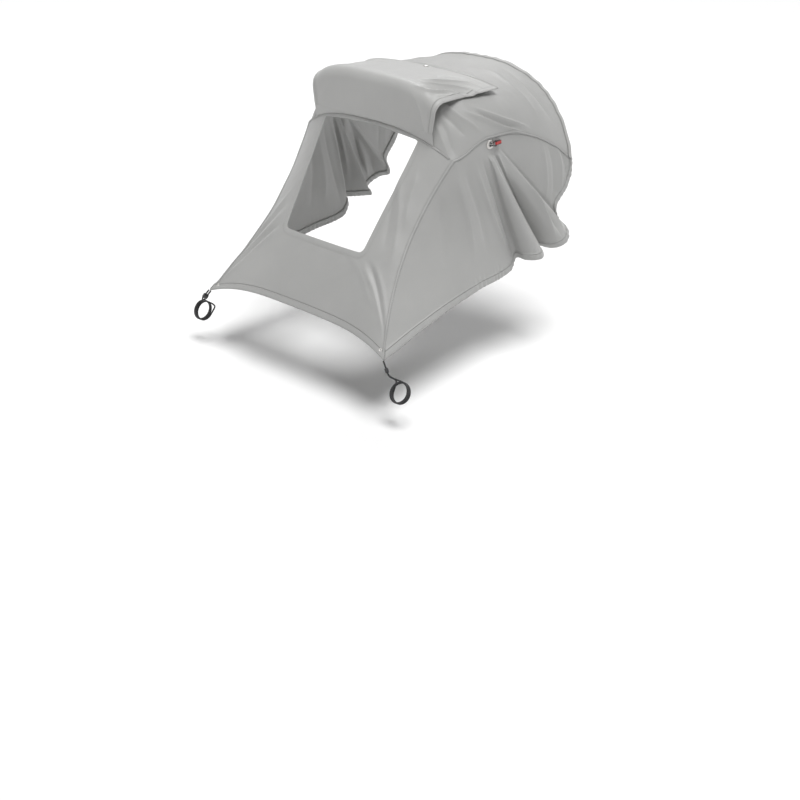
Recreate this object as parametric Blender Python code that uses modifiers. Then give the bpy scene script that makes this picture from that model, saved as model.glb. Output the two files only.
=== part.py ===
"""Sun shade for a pram hood: a sail of light cloth that is pulled over the hood and tied to the push bar.

Metres, +Z up, -Y towards the push bar, +Y towards the rear of the hood. The origin is on top of the hood's front
bow, where the crown of the sail rests.
"""

import math

import bmesh
import bpy
import numpy as np
from mathutils import Matrix, Vector

# Cloth and clearances
CLOTH = 0.0010
TAPE = 0.0010
GAP = 0.0003
LAYER_GAP = 0.0005  # between layers of cloth, which bend
SEAM_RADIUS = 0.0008
SEAM_ALLOWANCE = 0.0017

# Hood that the sail is pulled over
HOOD_LENGTH = 0.270
HOOD_HALF_FRONT = 0.165
HOOD_HALF_REAR = 0.200
HOOD_REAR_DROP = 0.016
BOW_DEPTH = 0.045
SHOULDER_DROP = 0.0846

# Front panel, from the seam over the window down to the push bar
SEAM_TOP_Y = -0.018
SEAM_TOP_Z = -0.0675
SEAM_SWEEP = 0.0185
SEAM_DROP = 0.0405
CORNER_X = 0.207
CORNER_Y = -0.211
CORNER_Z = -0.368
HEM_MIDDLE_Y = -0.197
HEM_MIDDLE_Z = -0.3445
PANEL_KNEE_Y = -0.1367
PANEL_KNEE_Z = -0.2436
SEAM_WAIST = 0.0300
PANEL_FLATNESS = 3.5

# Window
WINDOW_TOP_HALF = 0.105
WINDOW_BOTTOM_HALF = 0.0895
WINDOW_TOP_Z = -0.0725
WINDOW_BOTTOM_Z = -0.2436
WINDOW_ARCH = 0.0085
WINDOW_RADIUS = 0.009
WINDOW_HEM = 0.010

# Side panel: its straight hem, its two big folds and the wing behind them
HEM_END_Y = 0.111
HEM_END_Z = -0.317
FOLD_FRONT_Y = 0.150
FOLD_REAR_Y = 0.220
FOLD_HALF = 0.026
FOLD_DEPTH = 0.034
FOLD_HEM_Z = -0.297
WING_LOW_Y = 0.232
WING_LOW_Z = -0.234
GATHER = 0.012

# Hems and the elastic in them
SIDE_HEM = 0.012
REAR_HEM = 0.011
FRONT_HEM = 0.008
ELASTIC = 0.007

# Window flap, folded open over the hood
FLAP_STANDOFF = 0.0030
FLAP_ROOT_HALF = 0.1315
FLAP_EDGE_HALF = 0.144
FLAP_RIDGE_Y = -0.0245
FLAP_RIDGE_Z = 0.0125
FLAP_ROUNDING = 0.022
FLAP_EDGE_Y = 0.128
FLAP_EDGE_Z = -0.0065
FLAP_SIDE_SETBACK = 0.009
FLAP_SIDE_DROOP = 0.030
FLAP_EDGE_DROOP = 0.013
FLAP_SPLIT = 0.35
FLAP_BREAK = 0.0015
FLAP_HEM = 0.010
FLAP_COLUMNS = 18
FRONT_FLAP_ROWS = 6
REAR_FLAP_ROWS = 8

# Press stud that keeps the flap open
STUD_Y = 0.117
STUD_CAP_RADIUS = 0.0048
STUD_CAP_HEIGHT = 0.0012
STUD_HOLE = 0.0016
STUD_HEAD_RADIUS = 0.0017
STUD_HEAD_HEIGHT = 0.0012
STUD_PLAY = 0.0008

# Side eyelet, its loop and its pull tab
EYELET_RADIUS = 0.0078
EYELET_BORE = 0.0035
EYELET_BARREL = 0.0042
EYELET_FLANGE = 0.0007
EYELET_BELOW_SEAM = 0.0105
LOOP_RADIUS = 0.0008
LOOP_HALF = 0.0023
LOOP_WIDE = 0.0046
LOOP_REACH = 0.0100
LOOP_LIFT = 0.0040
LOOP_TAIL = 0.0050
TAB_LENGTH = 0.0100
TAB_WIDTH = 0.0066
TAB_THICKNESS = 0.0006

# Corner patch and eyelet
PATCH = 0.022
CORNER_EYELET_RADIUS = 0.0030
CORNER_EYELET_BORE = 0.0012
CORNER_EYELET_BARREL = 0.0018
CORNER_INSET = 0.0105

# Tie: an elastic cord doubled through a slider, with turns round a push bar
CORD_RADIUS = 0.0014
CORD_SPACING = 0.0038
BAR_RADIUS = 0.0150
BAR_X = 0.235
BAR_Y = -0.203
BAR_Z = -0.417
BAR_SLOPE = math.radians(34.6)
TURNS = 3
TURN_PITCH = 0.0036
TURNS_START = -0.007
TIE_LENGTH = 0.0205
TAIL_RISE = 0.0120
SLIDER_LENGTH = 0.0070
SLIDER_AT = 0.0155
SLIDER_WIDTH = 0.0094
SLIDER_THICKNESS = 0.0060
SLIDER_BEVEL = 0.0008

SEAM_TIP = 0.010  # where the side seam's tube starts, at the front corner

SIDES = (("left", -1), ("right", 1))


def clear_scene():
    for obj in list(bpy.data.objects):
        bpy.data.objects.remove(obj, do_unlink=True)


def collection(name):
    made = bpy.data.collections.new(name)
    bpy.context.scene.collection.children.link(made)
    return made


def material(name, colour, roughness, metallic=0.0):
    made = bpy.data.materials.new(name)
    made.use_nodes = True
    shader = made.node_tree.nodes["Principled BSDF"]
    shader.inputs["Base Color"].default_value = (*colour, 1.0)
    shader.inputs["Roughness"].default_value = roughness
    shader.inputs["Metallic"].default_value = metallic
    return made


def materials():
    return {
        "cloth": material("grey_cloth", (0.38, 0.38, 0.37), 0.75),
        "flap": material("flap_cloth", (0.42, 0.42, 0.41), 0.75),
        "tape": material("grey_tape", (0.30, 0.30, 0.29), 0.80),
        "elastic": material("white_elastic", (0.70, 0.70, 0.68), 0.85),
        "steel": material("nickel_plate", (0.72, 0.72, 0.70), 0.28, 1.0),
        "cord": material("black_cord", (0.015, 0.015, 0.016), 0.70),
        "tab": material("red_ribbon", (0.55, 0.03, 0.03), 0.60),
        "slider": material("black_plastic", (0.02, 0.02, 0.02), 0.45),
    }


# Curves and surfaces

def vectors(*parts):
    """One array of points from separate x, y and z values."""
    return np.stack(np.broadcast_arrays(*parts), axis=-1).astype(float)


def spline(points):
    """A smooth curve through the points, as a function of 0 to 1 that follows their chord lengths."""
    p = np.array(points, float)
    knots = np.concatenate([[0.0], np.cumsum(np.linalg.norm(np.diff(p, axis=0), axis=1))])
    knots /= knots[-1]
    slopes = np.empty_like(p)
    slopes[1:-1] = (p[2:] - p[:-2]) / (knots[2:] - knots[:-2])[:, None]
    slopes[0] = (p[1] - p[0]) / (knots[1] - knots[0])
    slopes[-1] = (p[-1] - p[-2]) / (knots[-1] - knots[-2])

    def at(t):
        t = np.clip(np.asarray(t, float), 0.0, 1.0)
        i = np.clip(np.searchsorted(knots, t, side="right") - 1, 0, len(p) - 2)
        step = (knots[i + 1] - knots[i])[..., None]
        q = (t - knots[i])[..., None] / step
        return (
            (2 * q**3 - 3 * q**2 + 1) * p[i]
            + (q**3 - 2 * q**2 + q) * step * slopes[i]
            + (3 * q**2 - 2 * q**3) * p[i + 1]
            + (q**3 - q**2) * step * slopes[i + 1]
        )

    return at


def smooth(a, b, x):
    q = np.clip((np.asarray(x, float) - a) / (b - a), 0.0, 1.0)
    return q * q * (3 - 2 * q)


def flap_seam(across):
    """The seam over the window and its run to the bow's corners. across is -1 to 1."""
    s = np.abs(across)
    return vectors(
        HOOD_HALF_FRONT * np.asarray(across, float),
        SEAM_TOP_Y + SEAM_SWEEP * s**5,
        SEAM_TOP_Z - SEAM_DROP * s**3,
    )


FRONT_CORNER = np.array([CORNER_X, CORNER_Y, CORNER_Z])
BOW_CORNER = flap_seam(1.0)


def front_seam(t):
    """The right seam between front and side panels, from the front corner (0) up to the bow (1)."""
    t = np.asarray(t, float)
    place = FRONT_CORNER + (BOW_CORNER - FRONT_CORNER) * t[..., None]
    waist = SEAM_WAIST * np.clip(np.sin(math.pi * t), 0, 1) ** 0.9
    return place - vectors(waist, 0, 0)


def shoulder_z(y):
    """Height of the right seam between crown and side panel at a place along the hood."""
    rise = (BOW_CORNER[2] + SHOULDER_DROP) * (1 - smooth(BOW_CORNER[1], BOW_DEPTH + 0.025, y))
    fall = 0.076 * (np.clip(y - 0.35 * HOOD_LENGTH, 0, None) / (0.65 * HOOD_LENGTH)) ** 1.9
    return -SHOULDER_DROP + rise - fall


def crown_seam(t):
    """The right seam between crown and side panel, from the bow (0) back to the rear hem (1)."""
    y = BOW_CORNER[1] + (HOOD_LENGTH - BOW_CORNER[1]) * np.asarray(t, float)
    x = HOOD_HALF_FRONT + (HOOD_HALF_REAR - HOOD_HALF_FRONT) * np.clip(t, 0, 1) ** 0.9
    return vectors(x, y, shoulder_z(y))


BOW_SHARE = 0.55  # share of the side seam's parameter that runs below the bow


def side_seam(t):
    """The whole right seam from the front corner (0) over the bow to the rear hem (1)."""
    t = np.asarray(t, float)
    low = front_seam(np.clip(t / BOW_SHARE, 0, 1))
    high = crown_seam(np.clip((t - BOW_SHARE) / (1 - BOW_SHARE), 0, 1))
    return np.where((t < BOW_SHARE)[..., None], low, high)


def side_hem():
    """The right side panel's lower edge, from the front corner round both folds and up the wing."""
    points = [FRONT_CORNER]
    end = np.array([HOOD_HALF_REAR, HEM_END_Y, HEM_END_Z])
    for share in (0.25, 0.5, 0.75):
        sag = vectors(0, 0, 0.009 * math.sin(math.pi * share))
        points.append(FRONT_CORNER + (end - FRONT_CORNER) * share + sag)
    points.append(end)
    points.append((HOOD_HALF_REAR, HEM_END_Y + 0.0145, FOLD_HEM_Z))
    for centre in (FOLD_FRONT_Y, FOLD_REAR_Y):
        for turn in (30, 65, 100, 140):
            a = math.radians(turn)
            points.append((
                HOOD_HALF_REAR + FOLD_DEPTH * math.sin(a),
                centre - FOLD_HALF * math.cos(a),
                FOLD_HEM_Z + (0.012 if centre == FOLD_REAR_Y else 0.0) * (turn / 100) ** 2,
            ))
        if centre == FOLD_FRONT_Y:
            valley = 0.5 * (FOLD_FRONT_Y + FOLD_REAR_Y)
            points.append((HOOD_HALF_REAR - 0.002, valley, FOLD_HEM_Z + 0.005))
    points.append((HOOD_HALF_REAR + 0.003, WING_LOW_Y + 0.012, 0.5 * (WING_LOW_Z + FOLD_HEM_Z)))
    points.append((HOOD_HALF_REAR + 0.001, WING_LOW_Y, WING_LOW_Z))
    wing_end = crown_seam(1.0)
    points.append((HOOD_HALF_REAR + 0.002, 0.5 * (WING_LOW_Y + HOOD_LENGTH) + 0.006, WING_LOW_Z + 0.028))
    points.append((HOOD_HALF_REAR + 0.001, HOOD_LENGTH, 0.5 * (WING_LOW_Z + wing_end[2]) + 0.015))
    points.append(wing_end)
    return points


HEM_POINTS = np.array(side_hem())
HEM_CURVE = spline(HEM_POINTS)
HEM_KNOTS = np.concatenate([[0.0], np.cumsum(np.linalg.norm(np.diff(HEM_POINTS, axis=0), axis=1))])
HEM_KNOTS /= HEM_KNOTS[-1]
STRAIGHT_END = HEM_KNOTS[4]  # where the straight hem ends and the gathers begin
WING_START = HEM_KNOTS[-4]  # the wing's low end, behind the rear fold

# Where the gathers meet the seam: a short stretch on both sides of the eyelet
EYELET_SEAM = BOW_SHARE + (1 - BOW_SHARE) * (0.068 / HOOD_LENGTH)
SEAM_SPAN = GATHER / HOOD_LENGTH * (1 - BOW_SHARE)
FRONT_SHARE = 0.27  # shares of the side panel's columns before and in the folds; the rest are behind them
FOLD_SHARE = 0.53
BEND_SHARE = 0.45  # share of the front columns that stop short of the bow
BEND_START = 0.88 * BOW_SHARE
SIDE_COLUMNS = 60


def along_side(u):
    """For the panel's column parameter, the parameters of the hem and of the seam that it joins."""
    tip = 1 / SIDE_COLUMNS
    bend = BEND_SHARE * FRONT_SHARE
    stops = (0.0, tip, bend, FRONT_SHARE, FRONT_SHARE + FOLD_SHARE, 1.0)
    hem = (0.0, 0.07 * STRAIGHT_END, 0.7 * STRAIGHT_END, STRAIGHT_END, WING_START, 1.0)
    seam = (0.0, 0.07 * BOW_SHARE, BEND_START, EYELET_SEAM - SEAM_SPAN, EYELET_SEAM + SEAM_SPAN, 1.0)
    return np.interp(u, stops, hem), np.interp(u, stops, seam)


def side_surface(u, up):
    """The right side panel. u runs from the front corner to the rear, up from the hem (0) to the seam (1)."""
    hem_t, seam_t = along_side(u)
    low, high = HEM_CURVE(hem_t), side_seam(seam_t)
    up = np.asarray(up, float)[..., None]
    return low + (high - low) * up


def side_span(u):
    hem_t, seam_t = along_side(u)
    return np.linalg.norm(HEM_CURVE(hem_t) - side_seam(seam_t), axis=-1)


def seam_slant(u):
    """Sine of the angle at which the side panel's columns meet the seam."""
    hem_t, seam_t = along_side(u)
    column = side_seam(seam_t) - HEM_CURVE(hem_t)
    along = side_seam(seam_t + 0.002) - side_seam(seam_t - 0.002)
    column /= np.linalg.norm(column, axis=-1)[..., None]
    along /= np.linalg.norm(along, axis=-1)[..., None]
    return np.maximum(np.linalg.norm(np.cross(column, along), axis=-1), 0.3)


FIRST_COLUMN = 0.0020  # the side panel starts a little behind the front corner
LAST_COLUMN = 0.992


def eyelet_frame():
    """Centre, outward normal and rearward direction of the right side eyelet, on the side panel."""
    u = FRONT_SHARE + 0.5 * FOLD_SHARE
    up = 1 - EYELET_BELOW_SEAM / side_span(np.array(u))
    centre = side_surface(np.array(u), np.array(up))
    along = side_seam(EYELET_SEAM + SEAM_SPAN) - side_seam(EYELET_SEAM - SEAM_SPAN)
    down = side_surface(np.array(u), np.array(0.0)) - side_surface(np.array(u), np.array(1.0))
    normal = np.cross(down, along)
    normal /= np.linalg.norm(normal)
    along /= np.linalg.norm(along)
    return centre, normal, along


def flattened(place, centre, normal, inner, outer):
    """The surface pressed flat round a fitting."""
    def at(u, v):
        p = place(u, v)
        gap = p - centre
        near = 1 - smooth(inner, outer, np.linalg.norm(gap, axis=-1))
        return p - (near * (gap @ normal))[..., None] * normal

    return at


def front_surface(across, up):
    """The front panel. across is -1 to 1, up runs from the front hem (0) to the seam over the window (1)."""
    across = np.asarray(across, float)
    s = np.abs(across)
    middle = CENTRE_LINE(up)
    edge = front_seam(up)
    near_seam = smooth(0.55, 1.0, up)
    y_bend = s ** (PANEL_FLATNESS + (5 - PANEL_FLATNESS) * near_seam)
    z_bend = s ** (PANEL_FLATNESS + (3 - PANEL_FLATNESS) * near_seam)
    return vectors(
        across * edge[..., 0],
        middle[..., 1] + (edge[..., 1] - middle[..., 1]) * y_bend,
        middle[..., 2] + (edge[..., 2] - middle[..., 2]) * z_bend,
    )


CENTRE_LINE = spline([
    (0, HEM_MIDDLE_Y, HEM_MIDDLE_Z),
    (0, PANEL_KNEE_Y, PANEL_KNEE_Z),
    (0, SEAM_TOP_Y, SEAM_TOP_Z),
])


def arch(s, half, limit, power):
    """0 in the middle and 1 at the side: part of a superellipse, of the given half width."""
    k = half / limit
    drop = 1 - (1 - np.clip(k * s, 0, 1) ** power) ** (1 / power)
    return drop / (1 - (1 - k**power) ** (1 / power))


BOW_ROWS = 0.34  # share of the crown's rows that go up and over the bow
CROWN_COLUMNS = 28
CROWN_ROWS = 16


def spread(u):
    """Columns from -1 to 1 that lie closer together towards the sides, where the cloth bends down."""
    return np.sin((2 * np.asarray(u, float) - 1) * 1.2) / math.sin(1.2)


def part_of(columns, first, last, u):
    """The parameter on a panel of a strip that runs from one of its columns to another."""
    return (first + (last - first) * np.asarray(u, float)) / columns


def trim(surface, v, allowance):
    """How far across a panel may reach so that its side edge stops short of the seam."""
    one = np.ones_like(np.asarray(v, float))
    speed = np.linalg.norm(surface(one, v) - surface(0.99 * one, v), axis=-1) / 0.01
    return 1 - allowance / speed


def crown_surface(across, back):
    """The crown. across is -1 to 1, back runs from the flap's seam (0) over the bow to the rear hem (1)."""
    across = np.asarray(across, float)
    s = np.abs(across)
    turn = np.clip(back / BOW_ROWS, 0, 1) * math.pi / 2
    rest = np.clip((back - BOW_ROWS) / (1 - BOW_ROWS), 0, 1)
    bow_y = SEAM_TOP_Y + BOW_DEPTH * (1 - np.cos(turn) ** 0.8)
    bow_z = SEAM_TOP_Z + (CLOTH - SEAM_TOP_Z) * np.sin(turn) ** 0.8
    middle_y = bow_y + (HOOD_LENGTH - SEAM_TOP_Y - BOW_DEPTH) * rest
    middle_z = bow_z - HOOD_REAR_DROP * (1 - (1 - rest) ** 3)
    bow_reach = 0.2
    edge_t = bow_reach * np.clip(back / BOW_ROWS, 0, 1) + (1 - bow_reach) * rest
    edge = crown_seam(edge_t)
    over = smooth(0, BOW_ROWS, back)
    power = 4 - 1.5 * rest
    round_off = arch(s, edge[..., 0], edge[..., 0] * 1.03, power)
    drop = (1 - over) * s**3 + over * round_off
    sweep = (1 - over) * s**5 + over * s**2
    return vectors(
        across * edge[..., 0],
        middle_y + (edge[..., 1] - middle_y) * sweep,
        middle_z + (edge[..., 2] - middle_z) * drop,
    )


# Window flap

FLAP_AXIS = np.array([0.0, SEAM_TOP_Y - FLAP_STANDOFF, SEAM_TOP_Z + 0.0020])


def flap_section(across):
    """The flap's section at a place across it, as y and z of its three controls: hinge, ridge and free edge."""
    s = np.abs(across)
    hinge = np.stack([FLAP_AXIS[1] + 0.0040 * s**5, np.full_like(s, FLAP_AXIS[2])], axis=-1)
    ridge = np.stack([
        FLAP_RIDGE_Y + FLAP_SIDE_SETBACK * s**3.7,
        FLAP_RIDGE_Z - FLAP_SIDE_DROOP * s**3.7,
    ], axis=-1)
    edge = np.stack([
        FLAP_EDGE_Y + 0.003 * s**2,
        FLAP_EDGE_Z - FLAP_EDGE_DROOP * s**2.5,
    ], axis=-1)
    return hinge, ridge, edge


def flap_surface(across, along):
    """The flap. along is 0 at the hinge, 1 where its rounding starts, 2 where it ends and 3 at the free edge."""
    across = np.asarray(across, float)
    along = np.asarray(along, float)
    hinge, ridge, edge = flap_section(across)
    up = (ridge - hinge) / np.linalg.norm(ridge - hinge, axis=-1)[..., None]
    back = (edge - ridge) / np.linalg.norm(edge - ridge, axis=-1)[..., None]
    start, end = ridge - FLAP_ROUNDING * up, ridge + FLAP_ROUNDING * back
    a = np.clip(along, 0, 1)[..., None]
    b = np.clip(along - 1, 0, 1)[..., None]
    c = np.clip(along - 2, 0, 1)[..., None]
    yz = np.where(
        along[..., None] <= 1,
        hinge + (start - hinge) * a,
        np.where(
            along[..., None] <= 2,
            (1 - b) ** 2 * start + 2 * b * (1 - b) * ridge + b**2 * end,
            end + (edge - end) * c,
        ),
    )
    half = FLAP_ROOT_HALF + (FLAP_EDGE_HALF - FLAP_ROOT_HALF) * along / 3
    return vectors(across * half, yz[..., 0], yz[..., 1])


FOLD_AXIS = flap_surface(np.zeros(1), np.array([1 + FLAP_SPLIT]))[0]  # on the flap's face, where it folds


# Making objects

def finish(name, mesh, mat, home):
    obj = bpy.data.objects.new(name, mesh)
    mesh.materials.append(mat)
    home.objects.link(obj)
    return obj


def from_bmesh(name, bm, mat, home):
    mesh = bpy.data.meshes.new(name)
    bm.to_mesh(mesh)
    bm.free()
    return finish(name, mesh, mat, home)


def sheet(name, place, columns, rows, thickness, mat, home, side=1):
    """A sheet of cloth: a grid laid on a surface of two parameters, made thick on its inner side."""
    bm = bmesh.new()
    bmesh.ops.create_grid(bm, x_segments=columns, y_segments=rows, size=0.5)
    grid = np.array([v.co[:2] for v in bm.verts]) + 0.5
    for vert, xyz in zip(bm.verts, place(grid[:, 0], grid[:, 1])):
        vert.co = (side * xyz[0], xyz[1], xyz[2])
    if side < 0:
        bmesh.ops.reverse_faces(bm, faces=bm.faces[:])
    obj = from_bmesh(name, bm, mat, home)
    solid = obj.modifiers.new("Cloth", "SOLIDIFY")
    solid.thickness = thickness
    solid.offset = -1
    obj.data.shade_smooth()
    return obj


def inside(place, depth):
    """The surface moved inwards along its normal."""
    step = 1e-4

    def at(u, v):
        across = place(u + step, v) - place(u - step, v)
        along = place(u, v + step) - place(u, v - step)
        normal = np.cross(across, along)
        normal /= np.linalg.norm(normal, axis=-1)[..., None]
        return place(u, v) - depth * normal

    return at


def cut(obj, cutter, operation="DIFFERENCE"):
    hole = obj.modifiers.new("Hole", "BOOLEAN")
    hole.operation = operation
    hole.object = cutter


def hide(cutter):
    cutter.hide_render = True
    cutter.display_type = "WIRE"


def turned(name, profile, mat, home, steps=24):
    """A turned piece on the Z axis, from (radius, height) points of a closed section."""
    mesh = bpy.data.meshes.new(name)
    edges = [(i, (i + 1) % len(profile)) for i in range(len(profile))]
    mesh.from_pydata([(r, 0, z) for r, z in profile], edges, [])
    obj = finish(name, mesh, mat, home)
    screw = obj.modifiers.new("Turn", "SCREW")
    screw.steps = screw.render_steps = steps
    screw.use_merge_vertices = True
    screw.merge_threshold = 0.00001
    return obj


def tube(name, points, radius, mat, home, resolution=1, cyclic=False):
    """A round cord or seam along the points."""
    data = bpy.data.curves.new(name, "CURVE")
    data.dimensions = "3D"
    data.bevel_depth = radius
    data.bevel_resolution = resolution
    data.use_fill_caps = True
    line = data.splines.new("POLY")
    line.points.add(len(points) - 1)
    for point, place in zip(line.points, points):
        point.co = (*place, 1.0)
    line.use_cyclic_u = cyclic
    data.materials.append(mat)
    obj = bpy.data.objects.new(name, data)
    home.objects.link(obj)
    return obj


def set_frame(obj, centre, normal, along):
    """Places an object made round the Z axis: Z on the normal, X near the along direction."""
    z = Vector(normal).normalized()
    x = (Vector(along) - Vector(along).dot(z) * z).normalized()
    y = z.cross(x)
    turn = Matrix((x, y, z)).transposed().to_4x4()
    obj.matrix_world = Matrix.Translation(Vector(centre)) @ turn


def mirrored(point, side):
    return np.array([side * point[0], point[1], point[2]])


def pivot(name, place, home, parent=None):
    """An empty on a joint's axis, for what moves with it."""
    empty = bpy.data.objects.new(name, None)
    empty.empty_display_size = 0.01
    home.objects.link(empty)
    empty.location = Vector(place) - (parent.location if parent else Vector())
    if parent:
        empty.parent = parent
        empty.location = Vector(place) - parent.matrix_world.translation
    bpy.context.view_layer.update()
    return empty


def carry(obj, parent):
    """Hangs an object on a pivot and leaves it where it is."""
    bpy.context.view_layer.update()
    obj.parent = parent
    obj.matrix_parent_inverse = parent.matrix_world.inverted()


# The window and the panels

def window_outline(grow):
    """The window in front view, as x and z, anticlockwise seen from the push bar, with round lower corners."""
    top, low = WINDOW_TOP_Z - WINDOW_ARCH + grow, WINDOW_BOTTOM_Z - grow
    low_half, top_half = WINDOW_BOTTOM_HALF + grow, WINDOW_TOP_HALF + grow
    points = []
    for side in (1, -1):
        corner = []
        for turn in range(0, 91, 15):
            a = math.radians(turn if side > 0 else 90 - turn)
            x = low_half - WINDOW_RADIUS * (1 - math.cos(a))
            corner.append((side * x, low + WINDOW_RADIUS * (1 - math.sin(a))))
        points += corner
    for share in np.linspace(-1, 1, 9):
        points.append((share * top_half, top + WINDOW_ARCH * (1 - share**2)))
    return points


def window_cutter(name, grow, home):
    bm = bmesh.new()
    face = bm.faces.new([bm.verts.new((x, CORNER_Y, z)) for x, z in window_outline(grow)])
    made = bmesh.ops.extrude_face_region(bm, geom=[face])
    moved = [item for item in made["geom"] if isinstance(item, bmesh.types.BMVert)]
    bmesh.ops.translate(bm, verts=moved, vec=(0, -CORNER_Y + BOW_DEPTH, 0))
    bmesh.ops.recalc_face_normals(bm, faces=bm.faces[:])
    mesh = bpy.data.meshes.new(name)
    bm.to_mesh(mesh)
    bm.free()
    obj = bpy.data.objects.new(name, mesh)
    home.objects.link(obj)
    hide(obj)
    return obj


def drill(name, radius, depth, centre, normal, home):
    bm = bmesh.new()
    bmesh.ops.create_cone(
        bm, cap_ends=True, segments=20, radius1=radius, radius2=radius, depth=depth
    )
    mesh = bpy.data.meshes.new(name)
    bm.to_mesh(mesh)
    bm.free()
    obj = bpy.data.objects.new(name, mesh)
    home.objects.link(obj)
    set_frame(obj, centre, normal, (0.0, 1.0, 0.3))
    hide(obj)
    return obj


FRONT_COLUMNS = 26
FRONT_ROWS = 16
FRONT_TOP = 1 - SEAM_ALLOWANCE / 0.33


def corner_frame():
    """Centre and outward normal of the right corner eyelet, on the front panel."""
    across = 1 - CORNER_INSET / CORNER_X
    up = CORNER_INSET / 0.36
    spots = [front_surface(np.array(across + da), np.array(up + db))
             for da, db in ((0, 0), (0.02, 0), (0, 0.02))]
    normal = np.cross(spots[1] - spots[0], spots[2] - spots[0])
    return spots[0], normal / np.linalg.norm(normal)


def front_place(across, up):
    """The front panel's surface, pressed flat round both corner eyelets."""
    place = front_surface(across, up)
    centre, normal = corner_frame()
    for side in (1, -1):
        c, n = mirrored(centre, side), mirrored(normal, side)
        gap = place - c
        near = 1 - smooth(1.2 * CORNER_EYELET_RADIUS, 3 * CORNER_EYELET_RADIUS, np.linalg.norm(gap, axis=-1))
        place = place - (near * (gap @ n))[..., None] * n
    return place


def make_front(mats, home, cutters):
    opening = window_cutter("window_cutter", 0.0, cutters)
    outline = window_cutter("window_hem_outline", WINDOW_HEM, cutters)

    def panel(u, v):
        up = FRONT_TOP * np.asarray(v, float) ** 1.15
        return front_place((2 * u - 1) * trim(front_surface, up, SEAM_ALLOWANCE), up)

    front = sheet("front_panel", panel, FRONT_COLUMNS, FRONT_ROWS, CLOTH, mats["cloth"], home)
    cut(front, opening)

    depth = CLOTH + GAP
    def hem(u, v):
        return inside(panel, depth)(part_of(FRONT_COLUMNS, 2, FRONT_COLUMNS - 2, u), 0.0015 + v * FRONT_HEM / 0.33)

    sheet("front_hem", hem, FRONT_COLUMNS - 4, 1, TAPE, mats["tape"], home)

    def binding(u, v):
        across = part_of(FRONT_COLUMNS, 3, FRONT_COLUMNS - 3, u)
        return inside(panel, depth)(across, part_of(FRONT_ROWS, 4, FRONT_ROWS - 0.02, v))

    frame = sheet("window_hem", binding, FRONT_COLUMNS - 6, FRONT_ROWS - 4, TAPE, mats["tape"], home)
    cut(frame, outline, "INTERSECT")
    cut(frame, opening)


def make_corners(mats, home, cutters):
    centre, normal = corner_frame()
    depth = CLOTH + GAP
    for name, side in SIDES:
        def patch(u, v):
            across = 1 - (PATCH - (PATCH - 0.004) * u) / CORNER_X
            return inside(front_place, depth)(across, 0.0015 + v * PATCH / 0.36)

        backing = sheet(f"corner_patch_{name}", patch, 5, 5, TAPE, mats["tape"], home, side)
        hole = drill(
            f"corner_hole_{name}", CORNER_EYELET_BARREL + GAP, 0.02,
            mirrored(centre, side), mirrored(normal, side), cutters,
        )
        cut(backing, hole)
        cut(bpy.data.objects["front_panel"], hole)
        inner = CLOTH + 2 * GAP + TAPE
        rim, bore, barrel = CORNER_EYELET_RADIUS, CORNER_EYELET_BORE, CORNER_EYELET_BARREL
        lip = 0.0006
        eyelet = turned(
            f"corner_eyelet_{name}",
            [(bore, GAP + lip), (rim, GAP + lip), (rim, GAP), (barrel, GAP), (barrel, -inner),
             (rim, -inner), (rim, -inner - lip), (bore, -inner - lip)],
            mats["steel"], home, 20,
        )
        set_frame(eyelet, mirrored(centre, side), mirrored(normal, side), (1, 0, 0))


def stud_frame():
    """The press stud's place on the crown and the crown's normal there."""
    spots = crown_surface(np.zeros(2), np.array([crown_back(STUD_Y), crown_back(STUD_Y + 0.002)]))
    run = spots[1] - spots[0]
    normal = np.array([0.0, -run[2], run[1]])
    return spots[0], normal / np.linalg.norm(normal)


def crown_back(y):
    """The crown's back parameter at a place along its middle line."""
    rest = (y - SEAM_TOP_Y - BOW_DEPTH) / (HOOD_LENGTH - SEAM_TOP_Y - BOW_DEPTH)
    return BOW_ROWS + rest * (1 - BOW_ROWS)


def make_crown(mats, home, cutters):
    first = SEAM_ALLOWANCE / (BOW_DEPTH + HOOD_LENGTH)
    rows = REAR_HEM * (1 - BOW_ROWS) / (HOOD_LENGTH - SEAM_TOP_Y - BOW_DEPTH)

    def panel(u, v):
        rear_row = 1 - 1 / CROWN_ROWS
        back = np.interp(v, (0, rear_row, 1), (first, 1 - rows, 1))
        return crown_surface(spread(u) * trim(crown_surface, back, SEAM_ALLOWANCE), back)

    crown = sheet("crown_panel", panel, CROWN_COLUMNS, CROWN_ROWS, CLOTH, mats["cloth"], home)
    place, normal = stud_frame()
    hole = drill("stud_hole", STUD_HOLE, 0.006, place, normal, cutters)
    cut(crown, hole)

    elastic_depth = CLOTH + LAYER_GAP
    tunnel_depth = elastic_depth + TAPE + LAYER_GAP
    strip_columns = CROWN_COLUMNS - 2

    def tunnel(u, v):
        across = part_of(CROWN_COLUMNS, 1, CROWN_COLUMNS - 1, u)
        return inside(panel, tunnel_depth)(across, part_of(CROWN_ROWS, CROWN_ROWS - 1, CROWN_ROWS - 0.03, v))

    sheet("rear_hem", tunnel, strip_columns, 1, TAPE, mats["cloth"], home)
    edge = 0.5 * (1 - ELASTIC / REAR_HEM)

    def elastic(u, v):
        across = part_of(CROWN_COLUMNS, 1, CROWN_COLUMNS - 1, u)
        return inside(panel, elastic_depth)(across, part_of(CROWN_ROWS, CROWN_ROWS - 1 + edge, CROWN_ROWS - edge, v))

    sheet("rear_elastic", elastic, strip_columns, 1, TAPE, mats["elastic"], home)


SIDE_ROWS = (0.0, 0.25, 0.5, 0.72, 0.86, 0.91)  # rows up from the hem; the last one is just below the eyelet


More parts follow.
